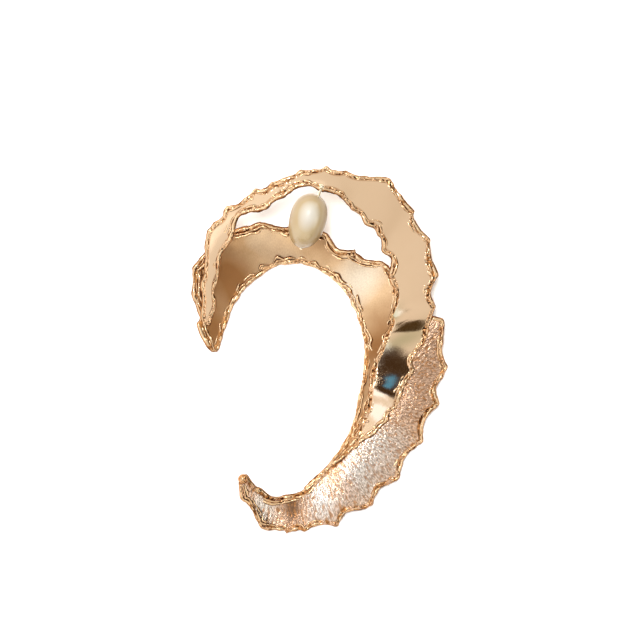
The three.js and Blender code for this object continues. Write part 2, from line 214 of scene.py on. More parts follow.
# Painted reflections and painted shade in each sheet's metal, laid on as paler and deeper patches: way along,
# share across, their reaches, and the painted light at the middle, from -1 for the metal's deep colour of
# painted shade to 1 for its pale colour of painted highlight. Sums past either end are held there.
SHEET_PAINTED_LIGHT = {
    "collar": (
        (0.05, 0.5, 0.09, 2, -1),
        (0.17, 0.2, 0.05, 0.7, -1),
        (0.23, 0.7, 0.045, 0.5, 0.45),
        (0.3, 0.3, 0.04, 1, 0.2),
        (0.34, 0.8, 0.04, 0.5, -0.7),
        (0.43, 0.4, 0.045, 0.8, 0.9),
        (0.57, 0.5, 0.08, 2, -0.95),
        (0.75, 0.5, 0.12, 2, -0.5),
    ),
    "band": (
        (0.28, 0.5, 0.1, 2, -0.1),
        (0.547, 0.03, 0.012, 0.22, -1),
        (0.605, 0.45, 0.018, 0.6, -0.8),
    ),
    "blade": (
        (0.15, 0.5, 0.15, 2, -0.35),
        (0.42, 0.4, 0.08, 0.6, 0.9),
        (0.55, 0.4, 0.06, 0.8, 0.9),
        (0.71, 0.45, 0.045, 0.5, 1.2),
        (0.805, 0.3, 0.025, 0.6, -1.3),
        (0.9, 0.5, 0.035, 0.6, 1.2),
    ),
}

# The melted rim of each sheet: how far inward its fold lies, and where one has them, the share of the way up
# to which dribbles follow its outer edge, and the share past which its inner edge is slimmer.
RIM_STYLES = {
    "collar": {"fold_gap": 0.72 * MM, "molten_to": 0.28},
    "band": {"fold_gap": 0.66 * MM, "slim_from": 0.57},
    "blade": {"fold_gap": 0.68 * MM},
}

# The strands that a rim is made of: the sides of its rings, how rough its lumps are, how far out on its
# flanks its painted shade is full, and how much painted shade darkens its pits.
STRANDS = {
    "lip": {"sides": 18, "lumps": 0.25, "dark_at": 0.95, "pits": 0.5},
    "fold": {"sides": 12, "lumps": 0.3, "dark_at": 0.9, "pits": 0.4},
    "dribble": {"sides": 10, "lumps": 0.3, "dark_at": 0.9, "pits": 0.4},
}
FOLD_RADIUS = 0.28 * MM
KNOB_RINGS = 20
KNOB_SIDES = 28

INNER_SIDE = 1
OUTER_SIDE = -1

# How many places along an edge are looked at to find the cuff's box, and to measure the edge.
BOX_SAMPLES = 2000
EDGE_SAMPLES = 6000

# A sheet has at least this many columns of points, and its back shows only this much of the front's relief.
FEWEST_COLUMNS = 12
BACK_RELIEF = 0.1 * MM

# Large numbers that scramble a lattice point and a seed into a random value of 32 bits.
HASH_STEPS = (374761393, 668265263, 961748927)
HASH_SEED_STEP = 40503
HASH_SPREAD = 1274126177
HASH_MASK = 2**32 - 1
HASH_HALF = 2**31

# The pearl's seat on the collar's outer rim and its pin's place on the band's inner rim, as turns and shares.
PEARL_SEAT_TURN = math.radians(96)
PEARL_TILT = math.radians(15.8)
PEARL_LEAN = math.radians(9)
PEARL_SEAT_SHARE = 0.08
PEARL_FULLNESS = 0.05
PEARL_BLUNTNESS = 2.3
PEARL_SLIMNESS = 0.985
PEARL_SHORTNESS = 0.99
PEARL_UNEVENNESS = 0.05 * MM
PEARL_RINGS = 90
PEARL_SIDES = 96
BORE_SIDES = 32
PIN_TURN = math.radians(99.5)
PIN_HEAD_RISE = 0.55
PIN_OFFSET_SHARE = 0.07
PIN_SLIMNESS = 0.98
PIN_UNEVENNESS = 0.03 * MM
PIN_SIDES = 24
BALL_RINGS = 24
WIRE_RINGS = 40

# A round body ends this small turn short of its axis, so its last rings keep their width.
POLE_TURN = 0.02
KNOB_POLE_TURN = 0.05

# Parts of the pearl's height over which its painted shade turns from tan to cream, and its cream turns to a
# painted highlight.
PEARL_SHADE_SPAN = (0.55, 0.92)
PEARL_HIGHLIGHT_SPAN = (0.89, 1.01)


class CuffSizes(bpy.types.PropertyGroup):
    """Sizes of the metal and the pearl."""

    width: FloatProperty(name="Width", description="Width of the crescent", default=57.2 * MM, unit="LENGTH")
    height: FloatProperty(
        name="Height", description="Height of the crescent", default=81.8 * MM, unit="LENGTH"
    )
    depth: FloatProperty(
        name="Depth", description="Climb from the lowest rim to the highest", default=11 * MM, unit="LENGTH"
    )
    tooth: FloatProperty(
        name="Tooth depth", description="Deepest dip between two points of an edge", default=2.2 * MM,
        unit="LENGTH",
    )
    sheet: FloatProperty(name="Sheet", description="Thickness of the sheets", default=0.8 * MM, unit="LENGTH")
    rim: FloatProperty(name="Rim", description="Diameter of the melted rims", default=1.3 * MM, unit="LENGTH")
    foot: FloatProperty(
        name="Foot flat", description="Depth worn off the lowest places", default=0.15 * MM, unit="LENGTH"
    )
    seat_gap: FloatProperty(
        name="Seat gap", description="Room between pieces that touch", default=0.3 * MM, unit="LENGTH"
    )
    spacing: FloatProperty(
        name="Mesh spacing", description="Distance between points of the fine meshes", default=0.17 * MM,
        unit="LENGTH",
    )
    pearl_length: FloatProperty(
        name="Pearl length", description="Length of the pearl", default=12.5 * MM, unit="LENGTH"
    )
    pearl_width: FloatProperty(
        name="Pearl width", description="Diameter of the pearl at its fullest", default=8.3 * MM,
        unit="LENGTH",
    )
    wire: FloatProperty(
        name="Pin wire", description="Diameter of the pin's wire", default=0.6 * MM, unit="LENGTH"
    )
    pin_head: FloatProperty(
        name="Pin head", description="Diameter of the ball on the pin", default=1.2 * MM, unit="LENGTH"
    )
    pin_knot: FloatProperty(
        name="Pin knot", description="Diameter of the bead that stops the pearl", default=1 * MM,
        unit="LENGTH",
    )
    knob: FloatProperty(
        name="Tip knob", description="Diameter of the melted knob at the blade's tip", default=2.4 * MM,
        unit="LENGTH",
    )
    bore: FloatProperty(
        name="Bore", description="Diameter of the pearl's bore", default=1 * MM, unit="LENGTH"
    )
    seed: IntProperty(name="Seed", description="Start of the random surface detail", default=7)


class CuffColours(bpy.types.PropertyGroup):
    """Colours of the metals, the pearl and the stage."""

    polished: FloatVectorProperty(name="Polished gold", description="Mirror of the band", subtype="COLOR",
                                  default=(0.88, 0.645, 0.435), min=0, max=1)
    # Painted reflection: the band's darker, greener patches stand in for dark things its mirror would show.
    polished_painted_shade: FloatVectorProperty(name="Deep polished gold", description="Greener patches of the band",
                                       subtype="COLOR", default=(0.5, 0.42, 0.24), min=0, max=1)
    satin: FloatVectorProperty(name="Satin gold", description="Brushed face of the collar", subtype="COLOR",
                               default=(0.81, 0.565, 0.335), min=0, max=1)
    # Painted highlight: the pale patches laid on the collar and the band.
    satin_painted_highlight: FloatVectorProperty(name="Pale satin gold", description="Bright patches of the collar",
                                    subtype="COLOR", default=(1, 0.9, 0.73), min=0, max=1)
    # The collar's brown grain and random patches, and also the painted shade laid on it.
    satin_deep_and_painted_shade: FloatVectorProperty(name="Deep satin gold",
                                    description="Brown patches and grain of the collar", subtype="COLOR",
                                    default=(0.34, 0.16, 0.06), min=0, max=1)
    textured: FloatVectorProperty(name="Textured gold", description="Grainy face of the blade",
                                  subtype="COLOR", default=(0.91, 0.64, 0.47), min=0, max=1)
    # Painted highlight: the bright patches laid on the blade.
    textured_painted_highlight: FloatVectorProperty(name="Pale textured gold", description="Bright patches of the blade",
                                       subtype="COLOR", default=(1, 0.95, 0.88), min=0, max=1)
    # Painted shade: the blade's dark patch, and the dark in the folds of its grain.
    textured_painted_shade: FloatVectorProperty(name="Deep textured gold",
                                       description="Dark patch and grain of the blade", subtype="COLOR",
                                       default=(0.27, 0.145, 0.08), min=0, max=1)
    # The pale rim colour stands partly for a painted highlight on the tops of the rims.
    rim: FloatVectorProperty(name="Melted rim", description="Beaded rims", subtype="COLOR",
                             default=(0.95, 0.7, 0.43), min=0, max=1)
    # Painted shade: the warm brown painted on the sides of rims, folds and creases.
    amber_painted_shade: FloatVectorProperty(name="Amber", description="Warm sides of the rims and folds", subtype="COLOR",
                               default=(0.52, 0.235, 0.08), min=0, max=1)
    # Painted shade: the darkest colour, painted at the bottom of creases and in pits.
    painted_shade: FloatVectorProperty(name="Creases", description="Darkened metal between the beads",
                                subtype="COLOR", default=(0.1, 0.03, 0.01), min=0, max=1)
    pin: FloatVectorProperty(name="Pale gold", description="Pin and its ball head", subtype="COLOR",
                             default=(0.88, 0.8, 0.62), min=0, max=1)
    pearl: FloatVectorProperty(name="Pearl", description="Body colour of the pearl", subtype="COLOR",
                               default=(0.33, 0.265, 0.16), min=0, max=1)
    # Tan of the pearl's random clouds, and painted shade low on its sides.
    pearl_tan_and_painted_shade: FloatVectorProperty(name="Deep pearl", description="Tan sides of the pearl", subtype="COLOR",
                                    default=(0.28, 0.18, 0.08), min=0, max=1)
    # Painted highlight: the paler top of the pearl.
    pearl_painted_highlight: FloatVectorProperty(name="Pearl glow", description="Paler middle of the pearl",
                                    subtype="COLOR", default=(0.42, 0.415, 0.4), min=0, max=1)
    pearl_coat: FloatVectorProperty(name="Pearl coat", description="Tint of the pearl's clear layers",
                                    subtype="COLOR", default=(0.97, 0.95, 0.9), min=0, max=1)
    floor: FloatVectorProperty(name="Floor", description="Pale studio floor", subtype="COLOR",
                               default=(0.93, 0.93, 0.93), min=0, max=1)
    floor_mottle: FloatVectorProperty(name="Floor mottle", description="Slightly darker patches of the floor",
                                      subtype="COLOR", default=(0.9, 0.9, 0.9), min=0, max=1)


class CuffStage(bpy.types.PropertyGroup):
    """The camera and the studio."""

    frame_width: FloatProperty(name="Frame width", description="Width of the picture at the cuff",
                               default=140.8 * MM, unit="LENGTH")
    frame_rise: FloatProperty(name="Frame rise", description="How far up the cuff the picture's middle is",
                              default=6.9 * MM, unit="LENGTH")
    focal: FloatProperty(name="Focal length", description="Camera focal length in millimetres", default=200)
    sensor: FloatProperty(name="Sensor", description="Camera sensor width in millimetres", default=36)
    focus_rise: FloatProperty(name="Focus rise", description="Height at which the frame width is measured",
                              default=5 * MM, unit="LENGTH")
    floor_half: FloatProperty(name="Floor half", description="Half the side of the floor", default=0.6,
                              unit="LENGTH")
    floor_drop: FloatProperty(name="Floor drop", description="How far the floor lies under the cuff",
                              default=0.02 * MM, unit="LENGTH")
    key_place: FloatVectorProperty(name="Key light", description="Place of the soft key light",
                                   default=(-0.12, 0.2, 0.75), subtype="XYZ", unit="LENGTH")
    key_size: FloatProperty(name="Key size", description="Diameter of the key light", default=0.5,
                            unit="LENGTH")
    key_power: FloatProperty(name="Key power", description="Power of the key light in watts", default=9)


def make_edge(rows, side, sizes):
    """An edge as its rows' turns round the heart, their reach from it and height, and the dips between."""
    table = np.array(rows, float)
    dx = (table[:, 0] - HEART[0]) * sizes.width
    dy = (table[:, 1] - HEART[1]) * sizes.height
    return {
        "turns": math.pi - np.arctan2(dy, dx),
        "values": np.column_stack((np.hypot(dx, dy), table[:, 2] * sizes.depth)),
        "dip": table[:, 3] * sizes.tooth * side,
        "lean": math.log(0.5) / np.log(table[:, 4]),
    }


def smooth_line(edge, turns, sizes):
    """An edge's smooth line at some turns, on the solid model's cubic curve, and the dips off it."""
    knots, values = edge["turns"], edge["values"]
    turns = np.clip(turns, knots[0], knots[-1])
    at = np.clip(np.searchsorted(knots, turns, side="right") - 1, 0, len(knots) - 2)
    before = np.where(at > 0, at - 1, 1)
    after = np.where(at + 2 < len(knots), at + 2, len(knots) - 2)
    span = knots[at + 1] - knots[at]
    gap_before = np.where(at > 0, knots[at] - knots[before], knots[0] - knots[1])
    gap_after = np.where(at + 2 < len(knots), knots[after] - knots[at + 1], knots[-2] - knots[-1])
    weight_before = 0.5 * span / gap_before
    weight_after = 0.5 * span / gap_after
    p = (turns - knots[at]) / span
    blend = (
        (before, -weight_before * (p**3 - 2 * p**2 + p)),
        (at, (1 + weight_before) * p**3 - (1.5 + 2 * weight_before) * p**2 + (weight_before - 0.5) * p + 1),
        (at + 1, -(1 + weight_after) * p**3 + (1.5 + weight_after) * p**2 + 0.5 * p),
        (after, weight_after * (p**3 - p**2)),
    )
    reach, height = sum(values[index] * weight[:, None] for index, weight in blend).T
    x = (HEART[0] - 0.5) * sizes.width - reach * np.cos(turns)
    y = (HEART[1] - 0.5) * sizes.height + reach * np.sin(turns)
    dip = edge["dip"][at] * np.sin(math.pi * p ** edge["lean"][at])
    return np.column_stack((x, y, height)), dip


def make_sheets(sizes):
    """The edges and bulges of the three sheets."""
    tables = {
        "collar": (COLLAR_INNER, COLLAR_OUTER, COLLAR_BULGE),
        "band": (BAND_INNER, BAND_OUTER, BAND_BULGE),
        "blade": (BLADE_INNER, BLADE_OUTER, BLADE_BULGE),
    }
    return {
        name: {
            "inner": make_edge(inner, INNER_SIDE, sizes),
            "outer": make_edge(outer, OUTER_SIDE, sizes),
            "bulge": np.array(bulge, float),
        }
        for name, (inner, outer, bulge) in tables.items()
    }


def unit(vectors):
    """The same directions, each of length 1."""
    return vectors / np.linalg.norm(vectors, axis=-1, keepdims=True)


def bulge_along(sheet, way):
    """The bulge at some shares of the way along a sheet, eased between the rows of its table."""
    rows = sheet["bulge"]
    index = np.clip(np.searchsorted(rows[:, 0], way) - 1, 0, len(rows) - 2)
    part = (way - rows[index, 0]) / (rows[index + 1, 0] - rows[index, 0])
    eased = part * part * (3 - 2 * part)
    return rows[index, 1] + (rows[index + 1, 1] - rows[index, 1]) * eased


def sheet_sections(sheet, turns, sizes):
    """Sections through a sheet at some turns, and the shares of each at which its two jagged rims lie."""
    inner, inner_dip = smooth_line(sheet["inner"], turns, sizes)
    outer, outer_dip = smooth_line(sheet["outer"], turns, sizes)
    across = outer - inner
    width = np.linalg.norm(across, axis=1)
    reach = np.hypot(across[:, 0], across[:, 1])
    across = unit(across)
    up = np.zeros_like(across)
    up[:, 2] = 1
    up = unit(up - across * across[:, 2:3])
    ends = sheet["outer"]["turns"][[0, -1]]
    way = (turns - ends[0]) / (ends[1] - ends[0])
    return {
        "inner": inner, "across": across, "up": up, "width": width, "way": way,
        "bulge": bulge_along(sheet, way), "low": inner_dip / reach, "high": 1 + outer_dip / reach,
    }


def on_section(section, shares):
    """Points of a sheet's middle surface: one row for each section and one column for each of its shares."""
    run = section["width"][:, None] * shares
    rise = (section["bulge"] * section["width"])[:, None] * np.sin(math.pi * np.clip(shares, 0, 1))
    return (
        section["inner"][:, None, :]
        + section["across"][:, None, :] * run[:, :, None]
        + section["up"][:, None, :] * rise[:, :, None]
    )


def rim_lines(sheet, turns, sizes):
    """The middle lines of a sheet's inner and outer rims at some turns, and the way up from the sheet."""
    section = sheet_sections(sheet, turns, sizes)
    points = on_section(section, np.column_stack((section["low"], section["high"])))
    return points[:, 0], points[:, 1], section["up"]


def frame_shift(sheets, sizes):
    """From the tables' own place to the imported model's: its middle in x and y, and its feet on the floor."""
    lines = []
    for sheet in sheets.values():
        turns = np.linspace(sheet["outer"]["turns"][0], sheet["outer"]["turns"][-1], BOX_SAMPLES)
        lines += rim_lines(sheet, turns, sizes)[:2]
    points = np.vstack(lines)
    shift = (CUFF_LOW + CUFF_HIGH) / 2 - (points.min(axis=0) + points.max(axis=0)) / 2
    shift[2] = sizes.rim / 2 - sizes.foot
    return shift


def lattice_noise(points, cell, seed):
    """Smooth random values from -1 to 1, one for each point, that change over about one cell."""
    scaled = points / np.asarray(cell)
    base = np.floor(scaled).astype(np.int64)
    part = scaled - base
    part = part * part * (3 - 2 * part)
    total = np.zeros(len(points))
    for corner in itertools.product((0, 1), repeat=3):
        spot = base + np.array(corner)
        mixed = sum(spot[:, k] * HASH_STEPS[k] for k in range(3)) & HASH_MASK
        mixed = (mixed + seed * HASH_SEED_STEP) & HASH_MASK
        mixed = ((mixed ^ (mixed >> 13)) * HASH_SPREAD) & HASH_MASK
        mixed = mixed ^ (mixed >> 16)
        weight = np.prod(np.where(corner, part, 1 - part), axis=1)
        total += weight * (mixed / HASH_HALF - 1)
    return total


def soft_step(values, low, high):
    """From 0 at low to 1 at high, eased."""
    part = np.clip((values - low) / (high - low), 0, 1)
    return part * part * (3 - 2 * part)


def even_turns(sheet, sizes):
    """Turns that cut a sheet's outer edge into even steps of the mesh spacing."""
    turns = np.linspace(sheet["outer"]["turns"][0], sheet["outer"]["turns"][-1], EDGE_SAMPLES)
    points = rim_lines(sheet, turns, sizes)[1]
    length = np.concatenate(([0], np.cumsum(np.linalg.norm(np.diff(points, axis=0), axis=1))))
    count = int(length[-1] / sizes.spacing)
    return np.interp(np.linspace(0, length[-1], count), length, turns)


def resample_loop(spacing, line, *others):
    """A closed line cut into even steps, and the same steps of other values along it."""
    closed = np.vstack((line, line[:1]))
    length = np.concatenate(([0], np.cumsum(np.linalg.norm(np.diff(closed, axis=0), axis=1))))
    count = int(length[-1] / spacing)
    at = np.linspace(0, length[-1], count, endpoint=False)
    tables = [np.vstack((table, table[:1])) for table in (line, *others)]
    return [np.column_stack([np.interp(at, length, table[:, k]) for k in range(3)]) for table in tables]


def soften_loop(values, reach):
    """Values round a closed line, each averaged with its neighbours."""
    total = sum(np.roll(values, step, axis=0) for step in range(-reach, reach + 1))
    return total / (2 * reach + 1)


def new_mesh(name, points, faces, attributes=None):
    """A smooth mesh object from points and faces, with named values on its points."""
    mesh = bpy.data.meshes.new(name)
    mesh.from_pydata(points.tolist(), [], faces)
    mesh.polygons.foreach_set("use_smooth", [True] * len(mesh.polygons))
    for key, values in (attributes or {}).items():
        kind, field = ("FLOAT", "value") if values.ndim == 1 else ("FLOAT_VECTOR", "vector")
        layer = mesh.attributes.new(key, kind, "POINT")
        layer.data.foreach_set(field, np.ascontiguousarray(values, dtype=np.float32).ravel())
    mesh.update()
    thing = bpy.data.objects.new(name, mesh)
    bpy.context.collection.objects.link(thing)
    return thing


def quads_between(count, around, close_rows, first=0):
    """Quads over rows of points that each go round once, with the last row joined to the first if asked."""
    rows = np.arange(count if close_rows else count - 1)
    columns = np.arange(around)
    row, column = np.meshgrid(rows, columns, indexing="ij")
    ahead = (row + 1) % count
    beside = (column + 1) % around
    corners = (row * around + column, row * around + beside, ahead * around + beside, ahead * around + column)
    return (np.stack(corners, axis=-1).reshape(-1, 4) + first).tolist()


def turned_profile(centre, axis, stations, radii, around):
    """Points of a round body: a ring of points at each station along an axis."""
    axis = unit(axis)
    side = unit(np.cross(axis, np.array((0.0, 0.0, 1.0))))
    up = np.cross(side, axis)
    angles = np.linspace(0, 2 * math.pi, around, endpoint=False)
    spokes = np.cos(angles)[:, None] * side + np.sin(angles)[:, None] * up
    rings = centre + stations[:, None, None] * axis + radii[:, None, None] * spokes[None, :, :]
    return rings.reshape(-1, 3)


def closed_rings(count, around, first):
    """Quads over rings of points, with one face of many sides that closes each end."""
    faces = quads_between(count, around, False, first)
    faces.append(list(range(first, first + around))[::-1])
    last = first + (count - 1) * around
    faces.append(list(range(last, last + around)))
    return faces


def round_body(name, centre, axis, stations, radii, around):
    """A smooth body turned round an axis, closed at both ends."""
    points = turned_profile(centre, axis, stations, radii, around)
    return new_mesh(name, points, closed_rings(len(stations), around, 0))


def mesh_points(piece):
    """The places of a piece's points."""
    return np.array([vertex.co for vertex in piece.data.vertices])


def settle(piece, slot, material, *nodes):
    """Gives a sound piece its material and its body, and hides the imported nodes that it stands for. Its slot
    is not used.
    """
    if not piece.data.polygons or not np.isfinite(mesh_points(piece)).all():
        raise RuntimeError(f"{piece.name} has no faces, or a point without a place")
    piece.data.materials.append(material)
    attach(piece, BODY)
    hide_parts(*nodes)


def painted_light_patches(name, spots, sizes):
    """The painted light of a sheet's metal at each spot, from -1 for painted shade to 1 for painted highlight,
    with the patches' edges broken up.
    """
    stir = lattice_noise(spots["points"], 3 * MM, sizes.seed + 91)
    total = np.zeros(len(stir))
    for way, step, way_reach, step_reach, painted_light in SHEET_PAINTED_LIGHT[name]:
        off = ((spots["way"] - way) / way_reach) ** 2 + ((spots["step"] - step) / step_reach) ** 2
        total += painted_light * np.exp(-off * (1 + 0.4 * stir))
    return np.clip(total, -1, 1)


def build_sheet(context, name, piece_name, grain):
    """One sheet between its rims: a fine front face and a plainer back, closed at its sides and ends.

    The back runs the other way across, with every second column of points.
    """
    sizes = context.scene.cuff_sizes
    sheets = make_sheets(sizes)
    sheet = sheets[name]
    section = sheet_sections(sheet, even_turns(sheet, sizes), sizes)
    shift = frame_shift(sheets, sizes)
    rows = len(section["way"])
    columns = max(FEWEST_COLUMNS, int(np.percentile(section["width"], 90) / sizes.spacing))
    steps = np.linspace(0, 1, columns)
    reach = (section["high"] - section["low"])[:, None]
    shares = section["low"][:, None] + reach * steps
    middle = on_section(section, shares)
    margin = np.minimum(steps, 1 - steps) * reach * section["width"][:, None]
    travel = np.arange(rows)[:, None] * sizes.spacing * np.ones(columns)
    across = shares * section["width"][:, None]
    spots = {
        "points": middle.reshape(-1, 3),
        "margin": margin.ravel(),
        "way": np.repeat(section["way"], columns),
        "step": np.tile(steps, rows),
        "grid": np.column_stack((travel.ravel(), across.ravel(), np.zeros(rows * columns))),
    }
    # The grain gives the face's relief, and the painted shade in its creases and beside its rims.
    raised, painted_shade = grain(spots, sizes)
    raised = raised.reshape(rows, columns)
    up = section["up"][:, None, :]
    front = middle + up * (sizes.sheet / 2 + raised)[:, :, None]
    hollow = np.clip(raised, -BACK_RELIEF, BACK_RELIEF)
    back = (middle - up * (sizes.sheet / 2 - hollow)[:, :, None])[:, ::-2]
    rings = np.concatenate((back, front), axis=1) + shift
    around = rings.shape[1]
    points = rings.reshape(-1, 3)
    points[:, 2] = np.maximum(points[:, 2], 0)
    plain = np.zeros(back.shape[:2])
    painted_shades = np.concatenate((plain, painted_shade.reshape(rows, columns)), axis=1)
    grid = spots["grid"].reshape(rows, columns, 3)
    grid = np.concatenate((grid[:, ::-2], grid), axis=1)
    # Painted reflections and painted shade, as patches paler and deeper than the metal.
    painted_lights = painted_light_patches(name, spots, sizes).reshape(rows, columns)
    painted_lights = np.concatenate((painted_lights[:, ::-2], painted_lights), axis=1)
    values = {"painted_shade": painted_shades.ravel(), "grid": grid.reshape(-1, 3), "painted_light": painted_lights.ravel()}
    return new_mesh(piece_name, points, closed_rings(rows, around, 0), values)


def rim_course(sheet, sizes):
    """A closed line round a sheet's edge, the ways inward and up from it, and what is beside its points.

    That is the sheet's width, the share of the way along, and 1 on the outer edge or 0 on the inner one. The
    tip is the sheet's last inner and outer points.
    """
    inner, outer, upward = rim_lines(sheet, even_turns(sheet, sizes), sizes)
    line = np.vstack((outer, inner[::-1]))
    upward = np.vstack((upward, upward[::-1]))
    width = np.linalg.norm(outer - inner, axis=1)
    way = np.linspace(0, 1, len(width))
    on_outer = np.column_stack((width, way, np.ones(len(way))))
    on_inner = np.column_stack((width, way, np.zeros(len(way))))[::-1]
    line, upward, beside = resample_loop(sizes.spacing, line, upward, np.vstack((on_outer, on_inner)))
    ahead = unit(soften_loop(np.roll(line, -2, axis=0) - np.roll(line, 2, axis=0), 2))
    inward = unit(np.cross(ahead, soften_loop(upward, 4)))
    return {
        "line": line, "inward": inward, "up": np.cross(inward, ahead), "tip": (inner[-1], outer[-1]),
        "width": beside[:, 0], "way": beside[:, 1], "outer": beside[:, 2],
    }


def strand(course, kind, aside, climb, radius, sizes, seed):
    """One closed strand of melted metal beside a rim's line: its points, and how much painted shade each has."""
    style = STRANDS[kind]
    line = course["line"] + course["inward"] * aside[:, None] + course["up"] * climb[:, None]
    angles = np.linspace(0, 2 * math.pi, style["sides"], endpoint=False)
    towards = course["inward"][:, None, :] * np.cos(angles)[None, :, None]
    spokes = towards + course["up"][:, None, :] * np.sin(angles)[None, :, None]
    base = (line[:, None, :] + spokes * radius[:, None, None]).reshape(-1, 3)
    lumps = 0.6 * lattice_noise(base, 1.5 * MM, seed) + 0.4 * lattice_noise(base, 0.8 * MM, seed + 1)
    pits = soft_step(lattice_noise(base, 1.1 * MM, seed + 2), 0.35, 0.75)
    reach = radius[:, None] * (1 + style["lumps"] * (lumps - 0.7 * pits).reshape(len(line), len(angles)))
    points = line[:, None, :] + spokes * np.minimum(reach, sizes.rim / 2)[:, :, None]
    # Painted shade: darker on the strand's flanks, away from its top, and in its pits.
    flank = np.tile(np.abs(np.cos(angles)), len(line))
    dark = 0.95 * soft_step(flank, 0.25, style["dark_at"]) + style["pits"] * pits
    return points.reshape(-1, 3), np.clip(dark, 0, 1)


def tip_knob(tip, sizes, seed):
    """A lumpy round knob at the tip of a sheet: its points, and how much painted shade each has."""
    inner, outer = tip
    radius = sizes.knob / 2
    middle = (inner + outer) / 2
    angles = np.linspace(KNOB_POLE_TURN, math.pi - KNOB_POLE_TURN, KNOB_RINGS)
    stations, radii = -np.cos(angles) * radius, np.sin(angles) * radius
    ball = turned_profile(middle, outer - inner, stations, radii, KNOB_SIDES)
    swell = lattice_noise(ball, 0.9 * MM, seed)
    ball = middle + (ball - middle) * (0.9 + 0.1 * swell)[:, None]
    # Painted shade, deeper down the knob's sides.
    sides = 1 - (ball - middle)[:, 2] / radius
    return ball, 0.3 + 0.5 * soft_step(sides, 0.1, 0.8)


def build_rim(context, name, piece_name, with_knob=False):
    """The melted rim of one sheet: a rolled lip, a thinner fold beside it, and dribbles in patches."""
    sizes = context.scene.cuff_sizes
    sheets = make_sheets(sizes)
    style = RIM_STYLES[name]
    course = rim_course(sheets[name], sizes)
    line, width, way, on_outer = (course[key] for key in ("line", "width", "way", "outer"))
    seed = sizes.seed + 20

    # The lip wanders over the edge, and swells and thins along it.
    wander = 0.55 * lattice_noise(line, 1.3 * MM, seed + 3) + 0.45 * lattice_noise(line, 2.6 * MM, seed + 6)
    swell = 0.6 * lattice_noise(line, 1.1 * MM, seed + 4) + 0.4 * lattice_noise(line, 2.4 * MM, seed + 7)
    slim = np.zeros(len(line))
    if "slim_from" in style:
        slim = soft_step(way, style["slim_from"], style["slim_from"] + 0.06) * (1 - on_outer)
    lip_aside = 0.1 * MM + 0.28 * MM * wander
    lip_radius = sizes.rim / 2 * (0.74 + 0.42 * swell) * (1 - 0.3 * slim)

    # The fold lies inward of the lip and a little above the sheet's middle.
    gap = style["fold_gap"] * (1 + 0.7 * lattice_noise(line, 1.5 * MM, seed + 9))
    gap = np.minimum(gap, 0.3 * width) * (1 - 0.65 * slim)
    fold_climb = 0.24 * MM + 0.2 * MM * lattice_noise(line, 1.4 * MM, seed + 11)
    fold_thick = 0.9 + 0.8 * lattice_noise(line, 1.2 * MM, seed + 10)
    fold_radius = FOLD_RADIUS * (np.clip(fold_thick, 0.3, 1.4) * (1 - 0.4 * slim))

    # The dribbles stand out in patches where the sheet is wide, and at its melted end. Elsewhere they lie in it.
    molten = soft_step(lattice_noise(line, 3.5 * MM, seed + 15), 0.15, 0.55)
    molten = molten * soft_step(width, 5 * MM, 7 * MM) * (1 - slim)
    end = np.zeros(len(line))
    if "molten_to" in style:
        end = soft_step(-way, -style["molten_to"], -0.8 * style["molten_to"]) * on_outer
    molten = np.maximum(molten, end)
    dribble_aside = gap + 0.6 * MM + 0.35 * MM * lattice_noise(line, 1.3 * MM, seed + 16)
    dribble_aside = np.minimum(dribble_aside, 0.45 * width)
    dribble_climb = 0.45 * MM * molten - 0.1 * MM
    dribble_thick = np.clip(0.95 + 0.8 * lattice_noise(line, 1.1 * MM, seed + 17), 0.4, 1.4)
    dribble_radius = (0.28 + 0.2 * end) * MM * dribble_thick

    strands = (
        strand(course, "lip", lip_aside, np.zeros(len(line)), lip_radius, sizes, seed + 5),
        strand(course, "fold", gap, fold_climb, fold_radius, sizes, seed + 12),
        strand(course, "dribble", dribble_aside, dribble_climb, dribble_radius, sizes, seed + 18),
    )
    faces = []
    first = 0
    for part, dark in strands:
        faces += quads_between(len(line), len(part) // len(line), True, first)
        first += len(part)
    parts = list(strands)
    if with_knob:
        faces += closed_rings(KNOB_RINGS, KNOB_SIDES, first)
        parts.append(tip_knob(course["tip"], sizes, seed + 19))
    points = np.vstack([part for part, dark in parts])
    points = np.clip(points + frame_shift(sheets, sizes), CUFF_LOW, CUFF_HIGH)
    return new_mesh(piece_name, points, faces, {"painted_shade": np.concatenate([dark for part, dark in parts])})


def with_rim_melt(spots, sizes, raised, painted_shade, reach, molten=0):
    """Adds molten dribbles beside a face's rims, in patches, and painted shade between them and along the rim's
    fold.
    """
    points, margin = spots["points"], spots["margin"]
    patch = np.maximum(soft_step(lattice_noise(points, 4 * MM, sizes.seed + 61), -0.1, 0.8), molten)
    melt_reach = sizes.rim / 2 + reach * (0.3 + 1.5 * patch)
    near = soft_step(-margin, -melt_reach, -0.6 * melt_reach)
    lumps = np.abs(lattice_noise(points, 0.8 * MM, sizes.seed + 62))
    raised = raised * (1 - near) + near * (lumps - 0.2) * 0.5 * MM
    # Painted shade in the hollows between the dribbles, and along the line where the face meets its rim.
    folds = near * soft_step(-lumps, -0.2, -0.04)
    edge = soft_step(-margin, -1.1 * MM, -0.85 * MM) * (0.3 + 0.5 * patch)
    return raised, np.clip(painted_shade + 0.8 * folds + 0.7 * edge, 0, 1)


def satin_grain(spots, sizes):
    """Soft dents of a hammered and brushed sheet, with more melted metal at its left end."""
    points = spots["points"]
    dents = 0.14 * MM * lattice_noise(points, 7 * MM, sizes.seed + 31)
    dents += 0.02 * MM * lattice_noise(points, 1.6 * MM, sizes.seed + 32)
    left_end = soft_step(-spots["way"], -0.3, -0.15) * soft_step(spots["step"], 0.5, 0.6)
    return with_rim_melt(spots, sizes, dents, np.zeros(len(points)), (0.4 + 1.2 * left_end) * MM, left_end)


